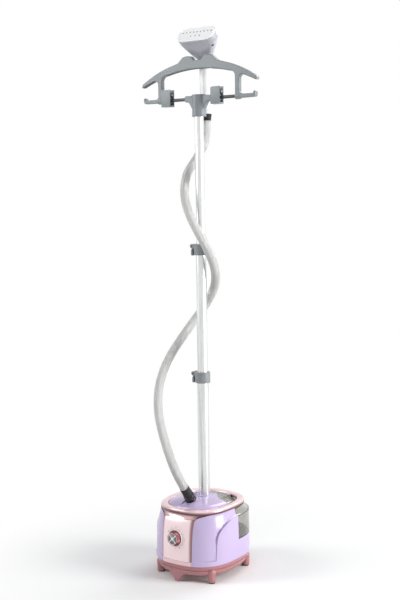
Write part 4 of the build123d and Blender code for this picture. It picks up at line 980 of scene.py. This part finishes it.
# ---------------------------------------------------------------- tray, legs and toe
# (in from the oval, z)
TRAY_PROFILE = [(3.0, 50.0), (0.8, 50.0), (0.9, 48.6), (1.7, 45.2), (3.1, 41.6), (4.7, 38.6), (5.6, 37.5), (7.3, 37.1),
                (7.3, 36.2), (5.9, 35.6), (6.1, 34.4), (7.0, 30.4), (8.4, 26.4), (9.8, 23.8), (11.4, 22.2),
                (14.0, 21.5)]


def tray_band():
    rows = [[on_form(2 * pi * k / 144, z, 0.0, inset) for k in range(144)] for inset, z in TRAY_PROFILE]
    return capped(grid(rows, closed=True), 144, first=False)


def leg(x, y):
    """A short round leg that leans out a little and flares into the tray."""
    lean = (0.03 * (1 if x > 0 else -1), 0.03 * (1 if y > 0 else -1))
    profile = [(8.5, 3.0), (9.9, 3.1), (10.5, 3.8), (10.7, 6), (11.1, 14), (11.7, 22), (12.4, 27), (12.6, 30),
               (12.2, 33), (11.0, 36), (8.5, 38.6), (0.01, 39.5)]
    verts, faces = capped(lathe(profile, 40, (x, y)), 40, last=False)
    return [(px + lean[0] * (40 - z), py + lean[1] * (40 - z), z) for px, py, z in verts], faces


toe_half = smooth_line((1.2, 6.2), (6, 7.6), (11, 10.2), (16, 14.2), (20, 19), (24, 25.5), (28, 33), (32, 39),
                       (38.2, 43))


def toe():
    """The pointed front foot: both edges are hollow arcs, and its face follows the tray."""
    rows = []
    for k in range(21):
        t = k / 20
        z = 1.2 + 37.0 * t
        half = float(toe_half(z))
        front, back = [], []
        for j in range(13):
            x = half * (j - 6) / 6
            y = -(HALF_Y - 7.0 + 2.6 * (1 - t)) * oval(x / (HALF_X - 8.0))
            front.append((x, y, z))
            back.append((x, y + 9.0, z))
        rows.append(front + back[::-1])
    return capped(grid(rows, closed=True), 26)


LEGS = [leg(x, y) for x in (-85, 85) for y in (-83, 83)]
dressed("tray_shell", together(tray_band(), *LEGS), ROSE_TRAY, "base_tray", sharp=40)
eased(piece_from("front_toe", toe(), ROSE_TRAY, "base", "rose_plastic"), 1.3, 35, 4)


# ---------------------------------------------------------------- dial
TO_RIGHT = Vector((1, 0, 0))
DIAL_Z = 122
DIAL_TILT = radians(4.8)
DASHES, DASH_IN, DASH_OUT = 60, 24.3, 24.9
NUMBER_RADIUS, NUMBER_TALL = 28.6, 4.6
PRINT_PROUD = 0.12


def set_on(centre, up, out):
    """A function that moves points turned about Z to centre, so that their Z runs along out."""
    def place(patch):
        verts, faces = patch
        return [tuple(centre + TO_RIGHT * x + up * y + out * z) for x, y, z in verts], faces
    return place


on_dial = set_on(Vector((0, -130.6, DIAL_Z)), Vector((0, sin(DIAL_TILT), cos(DIAL_TILT))),
                 Vector((0, -cos(DIAL_TILT), sin(DIAL_TILT))))


def ring_profile(inner, outer, low, high, ease):
    """A flat ring from low to high, with its two upper edges eased."""
    return [(inner, low), (inner, high - ease), (inner + ease * 0.3, high - ease * 0.3), (inner + ease, high),
            (outer - ease, high), (outer - ease * 0.3, high - ease * 0.3), (outer, high - ease), (outer, low)]


def printed(right, up):
    """A point on the front panel, a little proud of it, at a distance right of the dial's middle and above it."""
    z = DIAL_Z + up
    inward = float(panel_in(z)) - PRINT_PROUD
    return on_form(turn_at_x(right, inward), z, inward)


dressed("dial_bezel_ring", on_dial(lathe(ring_profile(21.1, 23.2, -4.0, 2.0, 0.7), 96)), WHITE, "dial_bezel")

RIBS = 48


def ribbed(radius, turn, z):
    """The knob's side, hollowed between its ribs."""
    if not 3.0 < z < 11.8:
        return radius
    return radius - 0.75 * abs(sin(RIBS / 2 * turn)) ** 3


KNOB_PROFILE = [(18.0, 1.0), (20.6, 1.0), (20.75, 1.6), (20.6, 2.9), (20.3, 3.1), (19.6, 5.0), (18.4, 8.0),
                (17.2, 11.0), (16.9, 11.7), (16.7, 12.1), (16.2, 12.6), (15.4, 12.8), (15.1, 12.4), (15.1, 11.0)]
dressed("steam_knob_ribbed", on_dial(lathe(KNOB_PROFILE, RIBS * 8, shape=ribbed)), WINE, "steam_knob")
FACE_PROFILE = [(14.9, 10.8), (14.9, 12.2), (14.6, 12.4), (0.01, 12.4)]
dressed("knob_face_disc", on_dial(capped(lathe(FACE_PROFILE, 72), 72, last=False)), TURNED, "knob_face")


def cross():
    """White rim, four arms and the middle disc, pressed into the face."""
    middle = [(4.2, 12.0), (4.2, 13.1), (3.9, 13.4), (0.6, 13.5), (0.01, 13.5)]
    patches = [lathe(ring_profile(14.1, 15.1, 12.0, 13.1, 0.3), 72), capped(lathe(middle, 48), 48, last=False)]
    for k in range(4):
        turn = pi / 4 + k * pi / 2
        along, across = Vector((cos(turn), sin(turn), 0)), Vector((-sin(turn), cos(turn), 0))
        rows = []
        for far in np.linspace(3.6, 14.4, 6):
            half = 0.85 + 0.05 * (far - 3.6)
            outline = [(-half, 12.2), (-half, 12.8), (-half + 0.25, 13.05), (half - 0.25, 13.05), (half, 12.8),
                       (half, 12.2)]
            rows.append([tuple(along * far + across * s + Vector((0, 0, h))) for s, h in outline])
        patches.append(capped(grid(rows, closed=True), 6))
    return together(*patches)


piece_from("knob_cross", on_dial(cross()), WHITE, "dial", "white_plastic", sharp=50)


def dial_marks():
    """A ring of dashes and the numbers 1 to 12, printed on the front panel round the dial."""
    patches = []
    for k in range(DASHES):
        turn = 2 * pi * (k + 0.5) / DASHES
        patches.append(grid([[printed(r * cos(turn + s), r * sin(turn + s)) for s in (-0.034, -0.012, 0.012, 0.034)]
                             for r in (DASH_IN, DASH_OUT)]))
    for number in range(1, 13):
        words = bpy.data.curves.new("number", "FONT")
        words.body = str(number)
        words.size = NUMBER_TALL
        words.align_x = words.align_y = "CENTER"
        words.resolution_u = 3
        turn = pi / 2 - 2 * pi * number / 12
        right, up = NUMBER_RADIUS * cos(turn), NUMBER_RADIUS * sin(turn)
        points, faces = drawn("number", words)
        patches.append(([printed(right + point[0], up + point[1]) for point in points], faces))
    return together(*patches)


thick(piece_from("dial_numbers", dial_marks(), PRINT, "base", None), 0.1, 1)


# ---------------------------------------------------------------- outlet, hose nut and ribbed cuff
OUTLET_TILT = radians(38)
on_outlet = set_on(Vector((0, -55, 211)), Vector((0, cos(OUTLET_TILT), sin(OUTLET_TILT))),
                   Vector((0, -sin(OUTLET_TILT), cos(OUTLET_TILT))))


def fluted(radius, turn, z):
    """The nut's side, with sixteen flutes."""
    if not 7.6 < z < 17.6:
        return radius
    return radius - 0.9 * (0.5 + 0.5 * cos(16 * turn)) ** 3


NUT_PROFILE = [(11.7, 6.3), (14.6, 6.3), (15.2, 6.9), (15.5, 7.7), (15.5, 9), (15.4, 16.5), (15.3, 17.5), (14.6, 18.6),
               (13.6, 19.3), (11.7, 19.3)]
dressed("hose_nut_fluted", on_outlet(lathe(NUT_PROFILE, 128, shape=fluted)), BLACK, "hose_nut", sharp=50)
cuff_profile = [(11.6, 19.6), (13.6, 19.6), (14.0, 20.0), (14.0, 22.4)]
for rib in range(5):
    start, out = 23.2 + 5.0 * rib, 13.7 - 0.22 * rib
    cuff_profile += [(out - 1.1, start), (out - 1.1, start + 1.0), (out, start + 1.7), (out + 0.1, start + 2.8),
                     (out, start + 3.9)]
cuff_profile += [(12.75, 48.2), (12.75, 50.6), (12.4, 51.6), (11.9, 51.6)]
dressed("hose_cuff_ribbed", on_outlet(lathe(cuff_profile, 64)), RUBBER, "hose_cuff", sharp=50)
COLLAR_PROFILE = [(4.6, -14), (8.0, -14), (8.0, 0.2), (14.4, 0.2), (15.0, 0.8), (15.0, 4.8), (14.4, 5.8), (11.5, 6.1),
                  (11.5, 23.4), (11.0, 24.0), (4.9, 24.0), (4.6, -14)]
dressed("steam_outlet_collar", on_outlet(lathe(COLLAR_PROFILE, 72)), BLACK, "steam_outlet", sharp=50)


# ---------------------------------------------------------------- moulded plates, with rounded corners and edges
POLE_Y, HANDLE_Y, ROD_Z = 8.0, 41.0, 1301.0


def rounded(corners):
    """A closed outline from corners (u, v, radius), each turned into an arc that its two sides can hold."""
    line = []
    for i, (u, v, radius) in enumerate(corners):
        here = np.array((u, v), float)
        before, after = (np.array(corners[(i + step) % len(corners)][:2], float) - here for step in (-1, 1))
        sides = np.linalg.norm(before), np.linalg.norm(after)
        before, after = before / sides[0], after / sides[1]
        half = np.arccos(np.clip(before.dot(after), -1, 1)) / 2
        if radius <= 0 or half > pi / 2 - 0.02:
            line.append((u, v))
            continue
        cut = min(radius / tan(half), 0.49 * min(sides))
        radius = cut * tan(half)
        middle = (before + after) / np.linalg.norm(before + after)
        centre = here + middle * radius / sin(half)
        first, last = here + before * cut - centre, here + after * cut - centre
        start = atan2(first[1], first[0])
        sweep = (atan2(last[1], last[0]) - start + pi) % (2 * pi) - pi
        steps = max(3, round(abs(sweep) / 0.22))
        line += [tuple(centre + radius * np.array((cos(start + sweep * k / steps), sin(start + sweep * k / steps))))
                 for k in range(steps + 1)]
    return line


def moulded(corners, low, high, edge, place, steps=4):
    """A plate with those rounded corners between two depths; place turns (u, v, depth) into a point."""
    flat = np.array(rounded(corners))
    run = np.roll(flat, -1, 0) - np.roll(flat, 1, 0)
    run /= np.linalg.norm(run, axis=1)[:, None]
    area = np.sum(flat[:, 0] * np.roll(flat[:, 1], -1) - flat[:, 1] * np.roll(flat[:, 0], -1))
    out = np.stack([run[:, 1], -run[:, 0]], axis=1) * (1 if area > 0 else -1)
    quarter = [(edge * (1 - sin(pi / 2 * k / steps)), edge * (1 - cos(pi / 2 * k / steps))) for k in range(steps + 1)]
    rows = []
    for inset, depth in quarter + [(inset, high - low - depth) for inset, depth in quarter[::-1]]:
        rows.append([place(u, v, low + depth) for u, v in flat - out * inset])
    return capped(grid(rows, closed=True), len(flat))


def facing_front(u, v, depth):
    """The place of a plate that faces the front."""
    return u, depth, v


def facing_side(u, v, depth):
    return depth, u, v


def even_light(piece):
    """Large flat faces keep their own light, and the rounded edges blend into them."""
    added = piece.modifiers.new("even light", "WEIGHTED_NORMAL")
    added.weight = 100
    added.keep_sharp = True
    settle(piece)
    return piece


def along_rod(patch):
    """Points turned about Z, laid along the hanger's rod."""
    verts, faces = patch
    return [(w, POLE_Y + u, ROD_Z + v) for u, v, w in verts], faces


def stood_at(back):
    """A function that stands points turned about Z on an upright line, back behind the middle."""
    def place(patch):
        verts, faces = patch
        return [(x, y + back, z) for x, y, z in verts], faces
    return place


on_pole, on_handle = stood_at(POLE_Y), stood_at(HANDLE_Y)


# ---------------------------------------------------------------- garment hanger: bow, struts, hooks and cradle
def circle_top(x, peak, drop, reach_x):
    """The height of an arc that peaks at x = 0 and falls by drop at reach_x."""
    radius = (reach_x ** 2 + drop ** 2) / (2 * drop)
    return peak - radius + sqrt(radius ** 2 - x * x)


def bow_top(x):
    return circle_top(x, 1404.0, 55.0, 188.0)


def bow_low(x):
    return circle_top(x, 1381.0, 44.0, 192.0)


half_bow = [(12, 1403.8, 5), (21, 1414.3, 5), (34, 1416.0, 12), (48, 1414.0, 9), (66, bow_top(66) + 0.6, 16)]
half_bow += [(x, bow_top(x), 0) for x in (84, 98, 112, 126, 140, 152, 164, 175)]
half_bow += [(187.5, bow_top(187.5), 6.5), (191.5, bow_low(191.5) + 0.3, 5.5)]
half_bow += [(x, bow_low(x), 0) for x in (176, 162)]
half_bow += [(133.5, bow_low(133.5), 10), (133.5, 1306, 9), (176.5, 1305.6, 4), (178.2, 1312, 2.6),
             (184.3, 1311.6, 3.4), (184.3, 1295.8, 7), (150, 1295.6, 0), (120.5, 1294.6, 3),
             (120.5, bow_low(120.5), 13)]
half_bow += [(x, bow_low(x), 0) for x in (96, 82, 68, 54, 40, 26, 12)]
bow_outline = half_bow + [(-x, z, r) for x, z, r in half_bow[::-1]]
hanger_parts = [moulded(bow_outline, 0.5, 15.5, 2.6, facing_front)]
boss = [(4.6, 120.3), (7.8, 120.3), (8.4, 120.6), (8.6, 121.4), (8.6, 133.5), (8.2, 135.0), (7.0, 135.8), (0.01, 135.8)]
for side in (-1, 1):
    verts, faces = along_rod(capped(lathe(boss, 48), 48, first=False))
    hanger_parts.append(([(side * x, y, z) for x, y, z in verts], faces))
even_light(dressed("hanger_bow", together(*hanger_parts), HANGER_GREY, "hanger_frame"))

CHANNEL_HALF = 5.3


def channel_strip(first, last):
    """Painted shade of the hollow in the bow's underside: a dark strip that follows it, 0.05 mm below."""
    return grid([[(x, POLE_Y + s * CHANNEL_HALF, bow_low(x) - 0.05 - (0.25 if abs(s) < 1 else 0.0))
                  for s in (-1, -0.9, 0.9, 1)] for x in np.linspace(first, last, 30)])


shade_strips = [channel_strip(first, last) for first, last in ((-104, 104), (-184, -148), (148, 184))]
# painted shade: a sheet of the charcoal nylon finish where the bow's hollow underside would lie in shade
thick(piece_from("bow_channel_painted_shade", together(*shade_strips), DARK_ROD, "pole_upper", "dark_rod"), 0.5)

half_rod = [(4.5, 42.8), (5.4, 43.2), (5.4, 44.6), (4.5, 45), (4.5, 112), (4.4, 119.2), (3.9, 120.0), (0.01, 120.0)]
rod_profile = [(radius, -far) for radius, far in half_rod[::-1]] + half_rod
dressed("clip_rod", along_rod(lathe(rod_profile, 40)), DARK_ROD, "hanger_rod", sharp=50)


# ---------------------------------------------------------------- hub on the pole's top
HOLLOW_RADIUS = 17.3     # round the head's handle


def saddle(radius, turn, z):
    """The hub's rear is hollowed for the steam head's handle."""
    s, c = sin(turn), cos(turn)
    apart = HANDLE_Y - POLE_Y
    left = HOLLOW_RADIUS ** 2 - (apart * c) ** 2
    if s <= 0 or left <= 0:
        return radius
    return min(radius, apart * s - sqrt(left))


HUB_PROFILE = [(12.7, 1253.0), (18.2, 1253.0), (19.0, 1253.5), (19.5, 1254.6), (19.5, 1257.2), (18.9, 1258.0),
               (18.7, 1259.0), (18.7, 1285), (19.2, 1290), (19.5, 1296), (19.5, 1310.4), (18.9, 1311.5), (17.8, 1312.0),
               (0.01, 1312.0)]
half_wing = [(43, 1309.5, 4), (43, 1293.0, 4.5), (30, 1292.5, 8), (17.5, 1272, 20), (17.5, 1262, 0)]
wing_corners = [(-43, 1309.5, 4)] + half_wing + [(-x, z, r) for x, z, r in half_wing[:0:-1]]
wings = moulded(wing_corners, 0.0, 16.0, 2.8, facing_front)
even_light(dressed("hanger_hub_moulded", together(on_pole(lathe(HUB_PROFILE, 96, shape=saddle)), wings), HANGER_GREY,
                   "hanger_hub", sharp=60))


# ---------------------------------------------------------------- pole tubes, clamps with cam levers, socket
def drawn_tube(name, dia, bore, low, high):
    """A pole tube with its two ends eased."""
    profile = [(bore / 2, low), (dia / 2 - 0.4, low), (dia / 2, low + 0.4)]
    profile += [(dia / 2, z) for z in np.linspace(low + 8, high - 8, 12)]
    profile += [(dia / 2, high - 0.4), (dia / 2 - 0.4, high), (bore / 2, high), (bore / 2, low)]
    dressed(name + "_drawn", on_pole(lathe(profile, 96)), POLE, name, sharp=40)


def clamp(name, dia, inner, top):
    """A pole clamp at a tube's top: a grooved collar with two ears, and the cam lever between them."""
    r = dia / 2 + 5.0
    collar = [(dia / 2 + 0.2, top - 18), (r - 1.2, top - 18), (r - 0.3, top - 17.6), (r, top - 16.6)]
    for groove in (top - 13.5, top + 6):
        collar += [(r, groove), (r - 0.7, groove + 0.6), (r - 0.7, groove + 1.4), (r, groove + 2)]
    collar += [(r, top + 10.4), (r - 0.4, top + 11.5), (r - 1.6, top + 12), (inner / 2 + 0.3, top + 12)]
    pin_x, pin_z = -(r + 6.5), top + 6
    half_ear = [(pin_x - 6, 6, 5.8), (pin_x + 8.5, 6, 2), (-dia / 2 - 1.5, 6, 0)]
    ear = [(x, pin_z + up, r) for x, up, r in half_ear] + [(x, pin_z - up, r) for x, up, r in half_ear[::-1]]
    ears = [moulded(ear, near, near + 4.0, 0.8, facing_front, 2) for near in (POLE_Y - 8.55, POLE_Y + 4.55)]
    even_light(dressed(name + "_moulded", together(on_pole(lathe(collar, 96)), *ears), CLAMP_GREY, name, sharp=60))
    lever_side = [(pin_x - 4.4, pin_z + 4.4, 4.2), (pin_x + 4.4, pin_z + 4.4, 4.2), (pin_x + 4.2, pin_z - 7, 2.5),
                  (pin_x + 3.0, pin_z - 12, 5), (pin_x + 3.0, pin_z - 25, 2.6), (pin_x - 3.0, pin_z - 26, 2.6),
                  (pin_x - 3.0, pin_z - 10, 8), (pin_x - 4.4, pin_z - 4, 3)]
    eye = moulded(lever_side, POLE_Y - 4.4, POLE_Y + 4.4, 0.8, facing_front, 2)
    paddle = [(POLE_Y - 9, pin_z - 26, 4), (POLE_Y + 9, pin_z - 26, 4), (POLE_Y + 9, pin_z - 9, 3.5),
              (POLE_Y - 9, pin_z - 9, 3.5)]
    blade = moulded(paddle, pin_x - 3.0, pin_x + 3.0, 1.6, facing_side, 3)
    even_light(dressed(name + "_lever_moulded", together(eye, blade), CLAMP_GREY, name + "_lever", sharp=60))


# a clamp sits at the top of the outer tube and grips the inner one
LOWER_DIA, MIDDLE_DIA, UPPER_DIA = 32.0, 28.5, 25.0
LOWER_TOP, MIDDLE_TOP = 545.0, 898.0
drawn_tube("lower_tube", LOWER_DIA, 29.0, 107.5, LOWER_TOP)
drawn_tube("middle_tube", MIDDLE_DIA, 25.4, 451.0, MIDDLE_TOP)
drawn_tube("upper_tube", UPPER_DIA, 22.0, 804.0, 1292.0)
clamp("lower_clamp", LOWER_DIA, MIDDLE_DIA, LOWER_TOP)
clamp("upper_clamp", MIDDLE_DIA, UPPER_DIA, MIDDLE_TOP)

socket = [(16.2, 104), (20.0, 104), (20.0, 207), (22.0, 207), (22.5, 207.6), (22.5, 210.4), (22.0, 211.4), (20.8, 212),
          (16.9, 212), (16.2, 211.4), (16.2, 104)]
dressed("pole_socket_turned", on_pole(lathe(socket, 96)), LAVENDER, "pole_socket", sharp=40)


# ---------------------------------------------------------------- steam head
HEAD_TILT = radians(50)
PLATE_CENTRE = Vector((0, 1, 1470))
PLATE_HALF_X, PLATE_HALF_UP, PLATE_CORNER = 60.0, 25.0, 24.0
PLATE_POINTS = 96
THROAT_RADIUS, THROAT_Z = 17, 1404
PLATE_OUT, PLATE_UP = Vector((0, -sin(HEAD_TILT), cos(HEAD_TILT))), Vector((0, cos(HEAD_TILT), sin(HEAD_TILT)))


def on_plate(u, v, depth):
    """A place on the sole plate: right, up and out of it."""
    return tuple(PLATE_CENTRE + TO_RIGHT * u + PLATE_UP * v + PLATE_OUT * depth)


def plate_outline(shrink):
    """The plate's rounded rectangle, as points that start at its right."""
    a, b, r = (half - shrink for half in (PLATE_HALF_X, PLATE_HALF_UP, PLATE_CORNER))
    points = []
    for k in range(PLATE_POINTS):
        turn = 2 * pi * k / PLATE_POINTS
        c, s = cos(turn), sin(turn)
        far = min(a / max(abs(c), 1e-6), b / max(abs(s), 1e-6))
        u, v = far * c, far * s
        if abs(u) > a - r and abs(v) > b - r:
            # on the corner's arc, along the same ray
            cu, cv = (a - r) * (1 if u > 0 else -1), (b - r) * (1 if v > 0 else -1)
            lean = c * cu + s * cv
            far = lean + sqrt(max(0.0, lean * lean - (cu * cu + cv * cv - r * r)))
            u, v = far * c, far * s
        points.append((u, v))
    return points


def head_rows():
    """From the plate's rim, over the rounded edge and down to the handle's throat."""
    rows = [[on_plate(u, v, depth) for u, v in plate_outline(shrink)]
            for shrink, depth in ((2.2, -0.4), (0.9, -0.5), (0.25, -1.1), (0.0, -2.2), (0.0, -6), (0.0, -10),
                                  (0.0, -14.6))]
    rim = plate_outline(0)
    for t in np.linspace(0, 1, 15):
        share = 0.04 + 0.96 * t
        row = []
        for k, (u, v) in enumerate(rim):
            turn = 2 * pi * k / PLATE_POINTS
            start = Vector(on_plate(u, v, -16))
            end = Vector((THROAT_RADIUS * cos(turn), HANDLE_Y + THROAT_RADIUS * sin(turn), THROAT_Z))
            place = start.lerp(end, share)
            swell = 2.2 * sin(pi * share) * (0.4 + 0.6 * abs(cos(turn)))
            row.append(tuple(place + Vector((cos(turn), 0, 0)) * swell))
        rows.append(row)
    return rows


thick(dressed("steam_head_shell", grid(head_rows(), closed=True), HEAD_GREY, "head_shell", sharp=50), 1.6)

SCREW_ROW, SCREW_SPOT = 9, 91          # the shell's point under the screw


def shell_screw():
    """A black dish of painted shade for the hole over the shell's screw, on its front near the right end of the plate.
    """
    above, here, below = ([Vector(point) for point in row] for row in head_rows()[SCREW_ROW - 1:SCREW_ROW + 2])
    centre = here[SCREW_SPOT]
    along = (here[SCREW_SPOT + 1] - here[SCREW_SPOT - 1]).normalized()
    out = along.cross(below[SCREW_SPOT] - above[SCREW_SPOT]).normalized()
    if out.y > 0:
        out = -out
    across = out.cross(along)
    dish, turns = [(3.3, -0.4), (3.2, 0.25), (2.8, 0.4), (0.01, 0.3)], [2 * pi * k / 24 for k in range(24)]
    rings = [[tuple(centre + along * (r * cos(t)) + across * (r * sin(t)) + out * h) for t in turns] for r, h in dish]
    return capped(grid(rings, closed=True), 24, first=False)


# painted shade: the screw hole is a black dish on the shell, not a recess
piece_from("head_shell_screw_hole_shade", shell_screw(), BLACK, "steam_head", SLOTS["head_shell"], sharp=40)


def perforated():
    """The white sole plate: a flat face with its steam holes, and a rolled edge."""
    rows = [[on_plate(u, v, depth) for u, v in plate_outline(shrink)]
            for shrink, depth in ((1.6, 0.0), (0.6, 0.1), (0.3, 0.9), (0.5, 2.0), (1.3, 2.8), (2.6, 3.0), (5.0, 3.0),
                                  (5.6, 2.5), (6.6, 2.4))]
    return capped(grid(rows, closed=True), PLATE_POINTS)


even_light(dressed("sole_plate", perforated(), SOLE_WHITE, "steam_plate", sharp=45))
HOLE_ROWS = ((7.0, 9, 11.5), (-8.0, 3, 14.0))            # (height on the plate, holes, pitch)
HOLES = [((k - (count - 1) / 2) * pitch, v) for v, count, pitch in HOLE_ROWS for k in range(count)]
# each steam hole is a white rim round a black disc: painted shade in place of the open hole
rims, hole_shade_discs = [], []
for u, v in HOLES:
    rims.append(lathe([(1.95, 2.3), (2.0, 2.75), (2.3, 2.85), (2.7, 2.75), (2.8, 2.35)], 20, (u, v)))
    hole_shade_discs.append(capped(lathe([(2.0, 2.3), (2.0, 2.62), (0.01, 2.62)], 20, (u, v)), 20, first=False))
for holes_name, patches, finish in (("sole_plate_hole_rims", rims, SOLE_WHITE), ("sole_plate_hole_shade", hole_shade_discs, BLACK)):
    verts, faces = together(*patches)
    piece_from(holes_name, ([on_plate(*point) for point in verts], faces), finish, "steam_head", SLOTS["steam_plate"],
               sharp=50)


# ---------------------------------------------------------------- handle of the steam head
def grip(radius, turn, z):
    """Fine lengthwise ribs on the middle of the grip, front and back."""
    if not 1292 < z < 1376:
        return radius
    return radius - 0.35 * max(0.0, cos(GRIP_RIBS * turn))


GRIP_RIBS = 24
handle_profile = [(12.0, 1262), (16.0, 1262), (16.8, 1262.7), (17.0, 1264), (17.0, 1270), (16.3, 1270.8),
                  (16.3, 1272.2), (17.0, 1273), (17.0, 1290.8)]
handle_profile += [(16.9, z) for z in np.linspace(1292.5, 1375.5, 8)]
handle_profile += [(17.0, 1377.5), (17.0, 1398), (16.4, 1399.2), (16.4, 1400.6), (17.0, 1401.0), (12.0, 1401.0)]
dressed("steam_handle_grip", on_handle(lathe(handle_profile, GRIP_RIBS * 6, shape=grip)), WHITE, "steam_handle",
        sharp=50)
cuff_rows = [(12.2, 1244), (12.9, 1244.2), (13.3, 1245.0)]
for rib in range(4):
    z, out = 1246 + 3.6 * rib, 13.4 + 0.55 * rib
    cuff_rows += [(out - 0.9, z), (out, z + 0.6), (out + 0.1, z + 2.2), (out - 0.7, z + 2.8)]
cuff_rows += [(14.9, 1261.2), (14.2, 1261.8), (12.2, 1261.8)]
dressed("handle_cuff_ribbed", on_handle(lathe(cuff_rows, 64)), RUBBER, "handle_cuff", sharp=50)


# ---------------------------------------------------------------- small moulded and turned pieces, their edges eased
for small_node, ease in (("left_clip_leg", 0.6), ("left_clip_jaw", 0.6), ("right_clip_leg", 0.6),
                         ("right_clip_jaw", 0.6), ("top_deck", 0.7), ("foot_pads", 0.6), ("cable_gland", 0.6),
                         ("drain_plug", 0.5)):
    softened(small_node, ease)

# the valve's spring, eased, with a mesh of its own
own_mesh(softened("valve_spring", 0.02))

size_rows = {"cad": CAD_BOX, "visual": [list(corner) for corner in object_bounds()]}
{key: [[float(v) for v in corner] for corner in box] for key, box in size_rows.items()}
